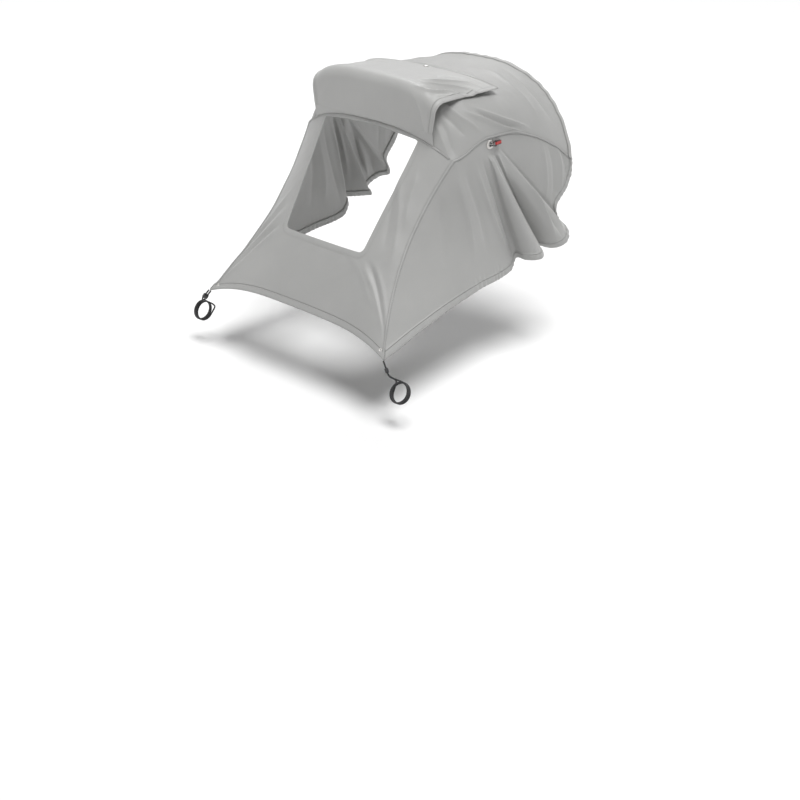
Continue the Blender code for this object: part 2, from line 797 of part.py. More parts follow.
def side_place():
    """The right side panel's surface, pressed flat round the eyelet."""
    centre, normal, _ = eyelet_frame()
    return flattened(side_surface, centre, normal, 2.0 * EYELET_RADIUS, 3.5 * EYELET_RADIUS)


def side_column(u):
    return FIRST_COLUMN + (LAST_COLUMN - FIRST_COLUMN) * np.asarray(u, float)


def make_sides(mats, home, cutters):
    place = side_place()
    centre, normal, _ = eyelet_frame()
    rows = len(SIDE_ROWS)

    def panel(u, v):
        column = side_column(u)
        top = 1 - SEAM_ALLOWANCE / seam_slant(column) / np.maximum(side_span(column), 0.004)
        levels = np.interp(v * rows, range(rows + 1), (*SIDE_ROWS, 1.0))
        return place(column, levels * np.maximum(top, 0.2))

    def band(width, low, depth, first, last):
        def at(u, v):
            column = side_column(part_of(SIDE_COLUMNS, first, last, u))
            return inside(place, depth)(column, (low + v * width) / side_span(column))
        return at

    elastic_depth = CLOTH + LAYER_GAP
    tunnel_depth = elastic_depth + TAPE + LAYER_GAP
    low = 0.5 * (SIDE_HEM - ELASTIC)
    first, last = 1, SIDE_COLUMNS - 1
    for name, side in SIDES:
        cloth = sheet(f"side_panel_{name}", panel, SIDE_COLUMNS, rows, CLOTH, mats["cloth"], home, side)
        hole = drill(
            f"eyelet_hole_{name}", EYELET_BARREL + GAP, 0.02,
            mirrored(centre, side), mirrored(normal, side), cutters,
        )
        cut(cloth, hole)
        hem = band(SIDE_HEM, 0.0004, tunnel_depth, first, last)
        sheet(f"side_hem_{name}", hem, last - first, 1, TAPE, mats["cloth"], home, side)
        elastic = band(ELASTIC, low, elastic_depth, first, last)
        sheet(f"side_elastic_{name}", elastic, last - first, 1, TAPE, mats["elastic"], home, side)


def spaced(points, least):
    """The points without those that lie closer than least to the one kept before."""
    kept = [points[0]]
    for point in points[1:]:
        if np.linalg.norm(point - kept[-1]) >= least:
            kept.append(point)
    return np.array(kept)


def make_seams(mats, home):
    """The bound seams: one on each side from corner to rear hem, and one along the front of the crown."""
    for name, side in SIDES:
        shares = side_column(np.linspace(0, 1, SIDE_COLUMNS + 1))
        spots = spaced(side_seam([SEAM_TIP, *along_side(shares)[1]]), 0.006)
        tube(f"side_seam_{name}", spots * np.array([side, 1, 1]), SEAM_RADIUS, mats["tape"], home)
    end = 1 - 2.6 * SEAM_ALLOWANCE / HOOD_HALF_FRONT
    tube("crown_seam", flap_seam(np.linspace(-end, end, 29)), SEAM_RADIUS, mats["tape"], home)


# The flap

def make_flap(mats, home):
    hinge = pivot("flap_hinge_pivot", FLAP_AXIS, home)
    fold = pivot("flap_fold_pivot", FOLD_AXIS, home, hinge)
    ridge_len = FLAP_ROUNDING * 1.6
    gap = 0.5 * FLAP_BREAK / ridge_len
    split = 1 + FLAP_SPLIT
    hem_share = FLAP_HEM / FLAP_ROOT_HALF
    root_gap = 0.012

    def root(u, v):
        half = FLAP_ROOT_HALF / HOOD_HALF_FRONT
        across = (2 * u - 1) * half
        seam = flap_seam(across)
        line = FLAP_AXIS[2] - 0.0010
        standoff = FLAP_STANDOFF * 0.6
        low = seam + vectors(0, -standoff, 0.0014)
        high = vectors(seam[..., 0], FLAP_AXIS[1] + 0.0040 * np.abs(2 * u - 1) ** 5, line)
        return low + (high - low) * np.asarray(v)[..., None]

    sheet("flap_root", root, 20, 2, CLOTH, mats["flap"], home)

    def columns(u):
        """Columns across the flap, with one as wide as a side hem at each end."""
        ends = 1 / FLAP_COLUMNS
        return np.interp(u, (0, ends, 1 - ends, 1), (-1, hem_share - 1, 1 - hem_share, 1))

    def front(u, v):
        return flap_surface(columns(u), root_gap + (split - gap - root_gap) * v)

    def back(u, v):
        return flap_surface(columns(u), split + gap + (3 - split - gap) * v)

    carry(sheet("flap_front", front, FLAP_COLUMNS, FRONT_FLAP_ROWS, CLOTH, mats["flap"], home), hinge)
    rear = sheet("flap_back", back, FLAP_COLUMNS, REAR_FLAP_ROWS, CLOTH, mats["flap"], home)
    carry(rear, fold)

    under = CLOTH + LAYER_GAP
    for name, side in SIDES:
        def front_strip(u, v):
            return inside(front, under)(part_of(FLAP_COLUMNS, FLAP_COLUMNS - 1, FLAP_COLUMNS, u), v)

        def back_strip(u, v):
            return inside(back, under)(part_of(FLAP_COLUMNS, FLAP_COLUMNS - 1, FLAP_COLUMNS, u), v)

        carry(sheet(f"flap_front_hem_{name}", front_strip, 1, FRONT_FLAP_ROWS, TAPE, mats["flap"],
                    home, side), hinge)
        carry(sheet(f"flap_back_hem_{name}", back_strip, 1, REAR_FLAP_ROWS, TAPE, mats["flap"],
                    home, side), fold)

    edge_share = FLAP_HEM * 0.7 / (FLAP_EDGE_Y - FLAP_RIDGE_Y - FLAP_ROUNDING)

    def edge_strip(u, v):
        across = part_of(FLAP_COLUMNS, 1.06, FLAP_COLUMNS - 1.06, u)
        return inside(flap_surface, under)(columns(across), 3 - edge_share * (1 - v) - 0.003)

    carry(sheet("flap_edge_hem", edge_strip, FLAP_COLUMNS - 2, 1, TAPE, mats["flap"], home), fold)
    return hinge, fold, rear


def flap_stud_place():
    """Where the press stud sits on the flap's upper face, and the flap's direction there."""
    shares = np.linspace(2, 3, 201)
    line = flap_surface(np.zeros_like(shares), shares)
    i = int(np.argmin(np.abs(line[:, 1] - STUD_Y)))
    along = line[i] - line[i - 5]
    normal = np.array([0.0, -along[2], along[1]])
    return line[i], normal / np.linalg.norm(normal)


def make_stud(mats, home, cutters, fold, flap):
    """The press stud: cap and socket on the flap, stud and post on the crown."""
    top, normal = flap_stud_place()
    hole = drill("cap_hole", STUD_HOLE, 0.004, top, normal, cutters)
    cut(flap, hole)
    cap_r, shank = STUD_CAP_RADIUS, STUD_HOLE - GAP
    under = CLOTH + GAP
    socket_r = 0.72 * cap_r
    bore = STUD_HEAD_RADIUS + STUD_PLAY
    depth = STUD_HEAD_HEIGHT + 0.0004
    cap = turned("stud_cap", [
        (0, GAP + STUD_CAP_HEIGHT), (0.7 * cap_r, GAP + 0.85 * STUD_CAP_HEIGHT), (cap_r, GAP + 0.0004),
        (cap_r, GAP), (shank, GAP), (shank, -under), (0, -under),
    ], mats["steel"], home)
    plate = under + GAP
    socket = turned("stud_socket", [
        (0, -plate), (socket_r, -plate), (socket_r, -plate - 0.0004 - depth),
        (bore, -plate - 0.0004 - depth), (bore, -plate - 0.0004), (0, -plate - 0.0004),
    ], mats["steel"], home)
    for piece in (cap, socket):
        set_frame(piece, top, normal, (1, 0, 0))
        carry(piece, fold)

    seat, upward = stud_frame()
    flange = 0.0005
    head, neck = STUD_HEAD_RADIUS, 0.75 * STUD_HEAD_RADIUS
    stud = turned("stud_head", [
        (0, GAP + flange + STUD_HEAD_HEIGHT), (0.8 * head, GAP + flange + STUD_HEAD_HEIGHT),
        (head, GAP + flange + 0.6 * STUD_HEAD_HEIGHT), (neck, GAP + flange), (socket_r, GAP + flange),
        (socket_r, GAP), (0, GAP),
    ], mats["steel"], home)
    post = turned("stud_post", [
        (0, 0), (shank, 0), (shank, -under), (socket_r, -under), (socket_r, -under - flange),
        (0, -under - flange),
    ], mats["steel"], home)
    for piece in (stud, post):
        set_frame(piece, seat, upward, (1, 0, 0))


# Side eyelets, loops and tabs

def loop_points():
    """The pull loop in the eyelet's own frame: X to the rear, Z out of the cloth. Its end is a straight bar."""
    leg = [
        (0, LOOP_HALF, -LOOP_TAIL), (0, LOOP_HALF, -0.0015), (0.0002, LOOP_HALF, 0.0008),
        (0.0012, LOOP_HALF, 0.0026), (0.0030, LOOP_HALF, LOOP_LIFT),
        (LOOP_REACH - 0.0008, LOOP_WIDE, LOOP_LIFT), (LOOP_REACH, LOOP_WIDE - 0.0007, LOOP_LIFT),
    ]
    return leg + [(x, -y, z) for x, y, z in reversed(leg)]


def make_eyelets(mats, home):
    centre, normal, along = eyelet_frame()
    under = CLOTH + GAP
    for name, side in SIDES:
        rim, bore, barrel, lip = EYELET_RADIUS, EYELET_BORE, EYELET_BARREL, EYELET_FLANGE
        c, n, a = mirrored(centre, side), mirrored(normal, side), mirrored(along, side)
        face = turned(f"eyelet_{name}", [
            (bore, GAP + 0.6 * lip), (0.5 * (bore + rim), GAP + 1.6 * lip), (rim, GAP + 0.5 * lip),
            (rim, GAP), (barrel, GAP), (barrel, -under - lip), (bore, -under - lip),
        ], mats["steel"], home)
        washer = turned(f"eyelet_washer_{name}", [
            (barrel + GAP, -under), (rim, -under), (rim, -under - lip), (barrel + GAP, -under - lip),
        ], mats["steel"], home)
        loop = tube(f"pull_loop_{name}", loop_points(), LOOP_RADIUS, mats["cord"], home)
        for piece in (face, washer, loop):
            set_frame(piece, c, n, a)
        make_tab(name, c, n, a, mats, home)


def make_tab(name, centre, normal, along, mats, home):
    """A ribbon folded over the end of the loop, free to swing round it."""
    outer = LOOP_RADIUS + GAP + TAB_THICKNESS
    inner = LOOP_RADIUS + GAP
    arc = [math.radians(t) for t in range(90, 271, 30)]
    section = [(TAB_LENGTH, outer)]
    section += [(outer * math.cos(t), outer * math.sin(t)) for t in arc]
    section += [(TAB_LENGTH, -outer), (TAB_LENGTH, -inner)]
    section += [(inner * math.cos(t), inner * math.sin(t)) for t in reversed(arc)]
    section += [(TAB_LENGTH, inner)]
    bm = bmesh.new()
    face = bm.faces.new([bm.verts.new((x, -0.5 * TAB_WIDTH, z)) for x, z in section])
    made = bmesh.ops.extrude_face_region(bm, geom=[face])
    moved = [item for item in made["geom"] if isinstance(item, bmesh.types.BMVert)]
    bmesh.ops.translate(bm, verts=moved, vec=(0, TAB_WIDTH, 0))
    bmesh.ops.recalc_face_normals(bm, faces=bm.faces[:])
    tab = from_bmesh(f"pull_tab_{name}", bm, mats["tab"], home)
    z = Vector(normal).normalized()
    x = (Vector(along) - Vector(along).dot(z) * z).normalized()
    swing = Vector(centre) + LOOP_REACH * x + LOOP_LIFT * z
    set_frame(tab, swing, normal, along)
    carry(tab, pivot(f"pull_tab_pivot_{name}", swing, home))


# Ties

BAR_AXIS = np.array([0.0, math.cos(BAR_SLOPE), -math.sin(BAR_SLOPE)])
BAR_UP = np.array([0.0, math.sin(BAR_SLOPE), math.cos(BAR_SLOPE)])
BAR_CENTRE = np.array([BAR_X, BAR_Y, BAR_Z])


def bar_place(along, out, up):
    """A point from its distances along the push bar, out to the side and up from the bar's middle."""
    return BAR_CENTRE + along * BAR_AXIS + out * np.array([1.0, 0, 0]) + up * BAR_UP


TIE_VIEW = np.array([0.52, -0.63, 0.56])  # the strands lie one behind the other along this line


def tie_line():
    """Start and direction of the doubled part of the right tie, and the direction between its strands."""
    start = FRONT_CORNER + np.array([-0.0013, 0.0001, -0.0002])
    aim = bar_place(-0.020, 0, 0)
    run = (aim - start) / np.linalg.norm(aim - start)
    across = TIE_VIEW - (TIE_VIEW @ run) * run
    return start, run, across / np.linalg.norm(across)


def round_bar(angle, along):
    radius = BAR_RADIUS + CORD_RADIUS + GAP
    return bar_place(along, radius * math.cos(angle), radius * math.sin(angle))


def tangent_angle(point, way):
    """Where a straight cord from the point first touches the turns, on the side given by way."""
    gap = point - BAR_CENTRE
    out, up = float(gap[0]), float(gap @ BAR_UP)
    radius = BAR_RADIUS + CORD_RADIUS + GAP
    return math.atan2(up, out) + way * math.acos(radius / math.hypot(out, up))


def bridge(a, towards_a, b, towards_b, steps):
    """A smooth run from point a to point b that leaves and arrives along the given directions."""
    reach = np.linalg.norm(b - a)
    q = np.linspace(0, 1, steps)[:, None]
    return (
        (2 * q**3 - 3 * q**2 + 1) * a
        + (q**3 - 2 * q**2 + q) * reach * towards_a
        + (3 * q**2 - 2 * q**3) * b
        + (q**3 - q**2) * reach * towards_b
    )


def tie_path():
    """The right tie in one unbroken line: from the corner through the slider, round the bar and back."""
    start, run, across = tie_line()
    half = 0.5 * CORD_SPACING
    down = [start + run * d + half * across for d in (0, TIE_LENGTH)]
    back = [start + run * d - half * across for d in (TIE_LENGTH, 0)]
    begin = tangent_angle(down[-1], -1)
    leave = tangent_angle(back[0], 1)
    sweep = begin - leave + 2 * math.pi * TURNS
    share = np.linspace(0, 1, int(24 * sweep / (2 * math.pi)))
    turns = [round_bar(begin - sweep * q, TURNS_START + TURN_PITCH * sweep * q / (2 * math.pi)) for q in share]
    first_turn, last_turn = turns[1] - turns[0], turns[-1] - turns[-2]
    first_turn /= np.linalg.norm(first_turn)
    last_turn /= np.linalg.norm(last_turn)
    lead = bridge(down[-1], run, turns[0], first_turn, 7)
    clear = turns[-1] + TAIL_RISE * last_turn
    tail = bridge(clear, last_turn, back[0], -run, 8)
    return np.array([down[0], *lead[:-1], *turns, *tail, back[1]])


def least_gap(points):
    """The tie's least clear distance to itself, measured on points that aren't neighbours along it."""
    steps = np.linalg.norm(np.diff(points, axis=0), axis=1)
    fine = np.concatenate([points[i] + (points[i + 1] - points[i]) * np.linspace(0, 1, 8)[:-1, None]
                           for i in range(len(steps))])
    length = np.concatenate([[0], np.cumsum(np.linalg.norm(np.diff(fine, axis=0), axis=1))])
    apart = np.linalg.norm(fine[:, None] - fine[None], axis=-1)
    apart[np.abs(length[:, None] - length[None]) < 12 * CORD_RADIUS] = 1.0
    return apart.min() - 2 * CORD_RADIUS


def make_ties(mats, home, cutters):
    path = tie_path()
    length = np.linalg.norm(np.diff(path, axis=0), axis=1).sum()
    print(f"tie: {len(path)} points, {1000 * length:.0f} mm long, least gap to itself"
          f" {1000 * least_gap(path):.2f} mm")
    start, run, across = tie_line()
    for name, side in SIDES:
        tube(f"tie_cord_{name}", path * np.array([side, 1, 1]), CORD_RADIUS, mats["cord"], home)
        middle = mirrored(start + run * SLIDER_AT, side)
        make_slider(name, middle, mirrored(run, side), mirrored(across, side), mats, home, cutters)


def make_slider(name, middle, run, across, mats, home, cutters):
    """The block that slides on both strands: Z along the cord, X from strand to strand."""
    bm = bmesh.new()
    bmesh.ops.create_cube(bm, size=1.0)
    bmesh.ops.scale(bm, verts=bm.verts[:], vec=(SLIDER_WIDTH, SLIDER_THICKNESS, SLIDER_LENGTH))
    slider = from_bmesh(f"tie_slider_{name}", bm, mats["slider"], home)
    set_frame(slider, middle, run, across)
    rounding = slider.modifiers.new("Rounding", "BEVEL")
    rounding.width = SLIDER_BEVEL
    rounding.segments = 2
    for number, shift in enumerate((-0.5, 0.5)):
        spot = Vector(middle) + shift * CORD_SPACING * Vector(across).normalized()
        hole = drill(f"slider_bore_{name}_{number}", CORD_RADIUS + GAP, 2 * SLIDER_LENGTH, spot, run, cutters)
        cut(slider, hole)
    carry(slider, pivot(f"tie_slider_pivot_{name}", middle, home))


def main():
    clear_scene()
    mats = materials()
    home = collection("pram_sun_shade")
    cutters = collection("cutters")
    make_front(mats, home, cutters)
    make_corners(mats, home, cutters)
    make_crown(mats, home, cutters)
    make_sides(mats, home, cutters)
    make_seams(mats, home)
    _, fold, flap = make_flap(mats, home)
    make_stud(mats, home, cutters, fold, flap)
    make_eyelets(mats, home)
    make_ties(mats, home, cutters)


main()
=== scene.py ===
# %% [markdown]
# # A sun shade for a pram hood
# The real thing is a sail of light grey polyester. It is pulled over a hood, tied to a bar with two elastic
# cords, and has a window whose cloth flap is folded back.
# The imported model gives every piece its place. This lesson dresses it in cloth, thread, metal and cord.

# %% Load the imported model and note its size
import math

import bmesh
import bpy
import numpy as np
from mathutils import Matrix, Vector


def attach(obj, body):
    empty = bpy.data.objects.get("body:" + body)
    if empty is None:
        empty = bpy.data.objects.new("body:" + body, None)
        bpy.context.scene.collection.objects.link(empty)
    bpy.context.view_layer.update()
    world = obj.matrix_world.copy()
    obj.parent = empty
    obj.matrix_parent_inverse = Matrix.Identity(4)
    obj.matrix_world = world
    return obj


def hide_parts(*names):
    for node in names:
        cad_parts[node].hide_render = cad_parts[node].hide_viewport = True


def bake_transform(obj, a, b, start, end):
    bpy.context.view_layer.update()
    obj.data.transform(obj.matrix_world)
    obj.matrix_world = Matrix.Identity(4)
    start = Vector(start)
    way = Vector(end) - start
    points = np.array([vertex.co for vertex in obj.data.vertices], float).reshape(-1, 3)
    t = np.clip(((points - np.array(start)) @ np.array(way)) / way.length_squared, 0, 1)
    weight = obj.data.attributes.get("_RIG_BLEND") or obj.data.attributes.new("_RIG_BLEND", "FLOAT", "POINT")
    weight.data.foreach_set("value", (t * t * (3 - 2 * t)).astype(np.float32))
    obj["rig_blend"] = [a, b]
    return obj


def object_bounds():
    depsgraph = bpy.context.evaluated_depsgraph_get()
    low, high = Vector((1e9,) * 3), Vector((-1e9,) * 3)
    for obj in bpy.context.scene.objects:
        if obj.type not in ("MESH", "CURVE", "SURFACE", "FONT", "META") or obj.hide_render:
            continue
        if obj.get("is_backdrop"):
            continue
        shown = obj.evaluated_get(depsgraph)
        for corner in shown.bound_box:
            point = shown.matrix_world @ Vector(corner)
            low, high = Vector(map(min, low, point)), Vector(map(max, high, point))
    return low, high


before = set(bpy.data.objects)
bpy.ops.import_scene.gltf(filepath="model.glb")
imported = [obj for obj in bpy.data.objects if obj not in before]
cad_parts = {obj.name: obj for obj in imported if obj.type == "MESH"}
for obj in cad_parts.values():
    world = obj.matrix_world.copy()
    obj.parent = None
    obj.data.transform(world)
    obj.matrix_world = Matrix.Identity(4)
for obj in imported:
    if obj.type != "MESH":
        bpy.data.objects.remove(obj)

solid_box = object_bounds()
print("solid model, lowest and highest corner:", [[round(v, 4) for v in corner] for corner in solid_box])

# %% [markdown]
# ## The camera
# The photograph looks down on the front and the right side of the shade. The lens and the place were found
# from straight lines of known direction. Fixing it first shows every later piece as the photograph does.

# %% Set up the camera
CAMERA_PLACE = (1.48266, -1.57101, 0.54785)
CAMERA_AZIMUTH = math.radians(42.406)
CAMERA_DIP = math.radians(27.810)
SENSOR_MM, LENS_MM = 36.0, 60.37

camera_data = bpy.data.cameras.new("photo_camera")
camera_data.sensor_width = SENSOR_MM
camera_data.lens = LENS_MM
camera = bpy.data.objects.new("photo_camera", camera_data)
camera.location = CAMERA_PLACE
camera.rotation_euler = (math.pi / 2 - CAMERA_DIP, 0, CAMERA_AZIMUTH)
bpy.context.scene.collection.objects.link(camera)
bpy.context.scene.camera = camera
print("camera at", CAMERA_PLACE, "with a lens of", LENS_MM, "mm")

# %% [markdown]
# ## The ties
# A black elastic cord leaves each front corner, runs doubled through a small slider, goes three times round
# the bar and comes back. Its route repeats the solid model's, with more points. A bevelled curve gives it
# its body and then becomes a mesh. A simulation would only move it off the bar that it is wound on, so its
# points are worked out.

# %% The cord's route
FRONT_CORNER = np.array([0.207, -0.211, -0.368])
CORD_RADIUS = 0.0014
CORD_SPACING = 0.0038
CORD_CLEARANCE = 0.0003
TIE_LENGTH = 0.0205
TAIL_RISE = 0.0120
BAR_RADIUS = 0.0150
BAR_CENTRE = np.array([0.235, -0.203, -0.417])
BAR_SLOPE = math.radians(34.6)
BAR_AXIS = np.array([0.0, math.cos(BAR_SLOPE), -math.sin(BAR_SLOPE)])
BAR_UP = np.array([0.0, math.sin(BAR_SLOPE), math.cos(BAR_SLOPE)])
TURNS, TURN_PITCH, TURNS_START = 3, 0.0036, -0.007
STEPS_PER_TURN = 40
TIE_VIEW = np.array([0.52, -0.63, 0.56])  # the two strands lie one behind the other along this line
TIE_START_SHIFT = np.array([-0.0013, 0.0001, -0.0002])
TIE_AIM = -0.020  # the doubled cord points at this place along the bar
ONTO_STEPS, OFF_STEPS = 11, 13
WINDING_RADIUS = BAR_RADIUS + CORD_RADIUS + CORD_CLEARANCE


def bar_point(along, out, up):
    """A point from its distances along the bar, out to the side and up from the bar's middle."""
    return BAR_CENTRE + along * BAR_AXIS + out * np.array([1.0, 0, 0]) + up * BAR_UP


def winding_point(angle, along):
    return bar_point(along, WINDING_RADIUS * math.cos(angle), WINDING_RADIUS * math.sin(angle))


def touch_angle(point, way):
    """Where a straight cord from the point first touches the winding."""
    gap = point - BAR_CENTRE
    out, up = float(gap[0]), float(gap @ BAR_UP)
    return math.atan2(up, out) + way * math.acos(WINDING_RADIUS / math.hypot(out, up))


def lead(a, towards_a, b, towards_b, steps):
    """A smooth run between two points that leaves and arrives in the given directions."""
    reach = np.linalg.norm(b - a)
    q = np.linspace(0, 1, steps)[:, None]
    return ((2 * q**3 - 3 * q**2 + 1) * a + (q**3 - 2 * q**2 + q) * reach * towards_a
            + (3 * q**2 - 2 * q**3) * b + (q**3 - q**2) * reach * towards_b)


def tie_frame():
    """Start and direction of the doubled cord, and the direction from strand to strand."""
    start = FRONT_CORNER + TIE_START_SHIFT
    aim = bar_point(TIE_AIM, 0, 0)
    run = (aim - start) / np.linalg.norm(aim - start)
    across = TIE_VIEW - (TIE_VIEW @ run) * run
    return start, run, across / np.linalg.norm(across)


def tie_route():
    start, run, across = tie_frame()
    half = 0.5 * CORD_SPACING
    down = [start + run * d + half * across for d in (0, TIE_LENGTH)]
    back = [start + run * d - half * across for d in (TIE_LENGTH, 0)]
    begin, leave = touch_angle(down[-1], -1), touch_angle(back[0], 1)
    sweep = begin - leave + 2 * math.pi * TURNS
    shares = np.linspace(0, 1, int(STEPS_PER_TURN * sweep / (2 * math.pi)))
    rise = TURN_PITCH * sweep / (2 * math.pi)
    turns = [winding_point(begin - sweep * q, TURNS_START + rise * q) for q in shares]
    first, last = turns[1] - turns[0], turns[-1] - turns[-2]
    first, last = first / np.linalg.norm(first), last / np.linalg.norm(last)
    onto = lead(down[-1], run, turns[0], first, ONTO_STEPS)
    clear = turns[-1] + TAIL_RISE * last
    off = lead(clear, last, back[0], -run, OFF_STEPS)
    return np.array([down[0], *onto[:-1], *turns, *off, back[1]])


route = tie_route()

# %% Make the two cords
HOME = bpy.context.scene.collection


def on_side(points, side):
    """Points of the right half, or their mirror images for the left half."""
    return np.asarray(points, float) * np.array([side, 1, 1])


def cord_curve(name, points, radius):
    curve = bpy.data.curves.new(name, "CURVE")
    curve.dimensions = "3D"
    curve.bevel_depth = radius
    curve.bevel_resolution = 3
    curve.use_fill_caps = True
    line = curve.splines.new("POLY")
    line.points.add(len(points) - 1)
    for point, place in zip(line.points, points):
        point.co = (*place, 1.0)
    drawn = bpy.data.objects.new(name + "_line", curve)
    mesh = bpy.data.meshes.new_from_object(drawn)
    bpy.data.objects.remove(drawn)
    mesh.name = name
    length = np.linalg.norm(np.diff(points, axis=0), axis=1).sum()
    for corner in mesh.uv_layers[0].data:
        corner.uv = (corner.uv[0], corner.uv[1] * length)
    obj = bpy.data.objects.new(name, mesh)
    HOME.objects.link(obj)
    return obj


SIDES = (("left", -1), ("right", 1))
ties = {}
for name, side in SIDES:
    tie = cord_curve(f"tie_{name}", on_side(route, side), CORD_RADIUS)
    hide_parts(f"tie_cord_{name}")
    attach(tie, "sail")
    tuple(on_side(route[0], side))
    [tuple(p) for p in on_side(route, side)]
    ties[name] = tie

# %% [markdown]
# ## The shape of the sail
# The sail is four panels: front, crown and two sides. Each is a surface of two parameters, with the seams
# as shared curves, so that the panels meet exactly. The same sizes made the solid model.

# %% Curves through points
def vectors(*parts):
    """One array of points from separate x, y and z values."""
    return np.stack(np.broadcast_arrays(*parts), axis=-1).astype(float)


def spline(points):
    """A smooth curve through the points, as a function of 0 to 1."""
    p = np.array(points, float)
    knots = np.concatenate([[0.0], np.cumsum(np.linalg.norm(np.diff(p, axis=0), axis=1))])
    knots /= knots[-1]
    slopes = np.empty_like(p)
    slopes[1:-1] = (p[2:] - p[:-2]) / (knots[2:] - knots[:-2])[:, None]
    slopes[0] = (p[1] - p[0]) / (knots[1] - knots[0])
    slopes[-1] = (p[-1] - p[-2]) / (knots[-1] - knots[-2])

    def at(t):
        t = np.clip(np.asarray(t, float), 0.0, 1.0)
        i = np.clip(np.searchsorted(knots, t, side="right") - 1, 0, len(p) - 2)
        step = (knots[i + 1] - knots[i])[..., None]
        q = (t - knots[i])[..., None] / step
        return ((2 * q**3 - 3 * q**2 + 1) * p[i] + (q**3 - 2 * q**2 + q) * step * slopes[i]
                + (3 * q**2 - 2 * q**3) * p[i + 1] + (q**3 - q**2) * step * slopes[i + 1])

    return at


def smooth(a, b, x):
    q = np.clip((np.asarray(x, float) - a) / (b - a), 0.0, 1.0)
    return q * q * (3 - 2 * q)


# %% The seams between the panels
HOOD_LENGTH, HOOD_HALF_FRONT, HOOD_HALF_REAR = 0.270, 0.165, 0.200
HOOD_REAR_DROP, BOW_DEPTH, SHOULDER_DROP = 0.016, 0.045, 0.0846
SEAM_TOP_Y, SEAM_TOP_Z, SEAM_SWEEP, SEAM_DROP = -0.018, -0.0675, 0.0185, 0.0405
SEAM_WAIST = 0.0300
BOW_SHARE = 0.55


def flap_seam(across):
    """The seam over the window and its run to the hood bow's corners. across is -1 to 1."""
    s = np.abs(across)
    return vectors(HOOD_HALF_FRONT * np.asarray(across, float), SEAM_TOP_Y + SEAM_SWEEP * s**5,
                   SEAM_TOP_Z - SEAM_DROP * s**3)


BOW_CORNER = flap_seam(1.0)


def front_seam(t):
    """The right seam between front and side, from the front corner (0) up to the bow (1)."""
    t = np.asarray(t, float)
    place = FRONT_CORNER + (BOW_CORNER - FRONT_CORNER) * t[..., None]
    return place - vectors(SEAM_WAIST * np.clip(np.sin(math.pi * t), 0, 1) ** 0.9, 0, 0)


def shoulder_z(y):
    rise = (BOW_CORNER[2] + SHOULDER_DROP) * (1 - smooth(BOW_CORNER[1], BOW_DEPTH + 0.025, y))
    fall = 0.076 * (np.clip(y - 0.35 * HOOD_LENGTH, 0, None) / (0.65 * HOOD_LENGTH)) ** 1.9
    return -SHOULDER_DROP + rise - fall


def crown_seam(t):
    """The right seam between crown and side, from the bow (0) back to the rear hem (1)."""
    y = BOW_CORNER[1] + (HOOD_LENGTH - BOW_CORNER[1]) * np.asarray(t, float)
    x = HOOD_HALF_FRONT + (HOOD_HALF_REAR - HOOD_HALF_FRONT) * np.clip(t, 0, 1) ** 0.9
    return vectors(x, y, shoulder_z(y))


def side_seam(t):
    """The whole right seam from the front corner (0) over the bow to the rear hem (1)."""
    t = np.asarray(t, float)
    low = front_seam(np.clip(t / BOW_SHARE, 0, 1))
    high = crown_seam(np.clip((t - BOW_SHARE) / (1 - BOW_SHARE), 0, 1))
    return np.where((t < BOW_SHARE)[..., None], low, high)


# %% The side panel's free edge, with its two big folds
HEM_END_Y, HEM_END_Z = 0.111, -0.317
FOLD_FRONT_Y, FOLD_REAR_Y, FOLD_HALF, FOLD_DEPTH, FOLD_HEM_Z = 0.150, 0.220, 0.026, 0.034, -0.297
WING_LOW_Y, WING_LOW_Z = 0.232, -0.234
EDGE_RISE = 0.009


def side_edge_points():
    points = [FRONT_CORNER]
    end = np.array([HOOD_HALF_REAR, HEM_END_Y, HEM_END_Z])
    for share in (0.25, 0.5, 0.75):
        rise = vectors(0, 0, EDGE_RISE * math.sin(math.pi * share))
        points.append(FRONT_CORNER + (end - FRONT_CORNER) * share + rise)
    points.append(end)
    points.append((HOOD_HALF_REAR, HEM_END_Y + 0.0145, FOLD_HEM_Z))
    for centre, lift in ((FOLD_FRONT_Y, 0.0), (FOLD_REAR_Y, 0.012)):
        for turn in (30, 65, 100, 140):
            a = math.radians(turn)
            points.append((HOOD_HALF_REAR + FOLD_DEPTH * math.sin(a), centre - FOLD_HALF * math.cos(a),
                           FOLD_HEM_Z + lift * (turn / 100) ** 2))
        if centre == FOLD_FRONT_Y:
            points.append((HOOD_HALF_REAR - 0.002, 0.5 * (FOLD_FRONT_Y + FOLD_REAR_Y), FOLD_HEM_Z + 0.005))
    points.append((HOOD_HALF_REAR + 0.003, WING_LOW_Y + 0.012, 0.5 * (WING_LOW_Z + FOLD_HEM_Z)))
    points.append((HOOD_HALF_REAR + 0.001, WING_LOW_Y, WING_LOW_Z))
    wing_end = crown_seam(1.0)
    points.append((HOOD_HALF_REAR + 0.002, 0.5 * (WING_LOW_Y + HOOD_LENGTH) + 0.006, WING_LOW_Z + 0.028))
    points.append((HOOD_HALF_REAR + 0.001, HOOD_LENGTH, 0.5 * (WING_LOW_Z + wing_end[2]) + 0.015))
    return points + [wing_end]


EDGE_POINTS = np.array(side_edge_points())
SIDE_EDGE = spline(EDGE_POINTS)
EDGE_KNOTS = np.concatenate([[0.0], np.cumsum(np.linalg.norm(np.diff(EDGE_POINTS, axis=0), axis=1))])
EDGE_KNOTS /= EDGE_KNOTS[-1]
STRAIGHT_END, WING_START = EDGE_KNOTS[4], EDGE_KNOTS[-4]

# %% [markdown]
# ## Gathers at the eyelet
# The side panel is ruled: straight columns run from its free edge up to the seam. Many of them crowd
# together at the eyelet, where the real cloth is drawn up in gathers. The crowding is smoothed, so that no
# column shows as a crease.

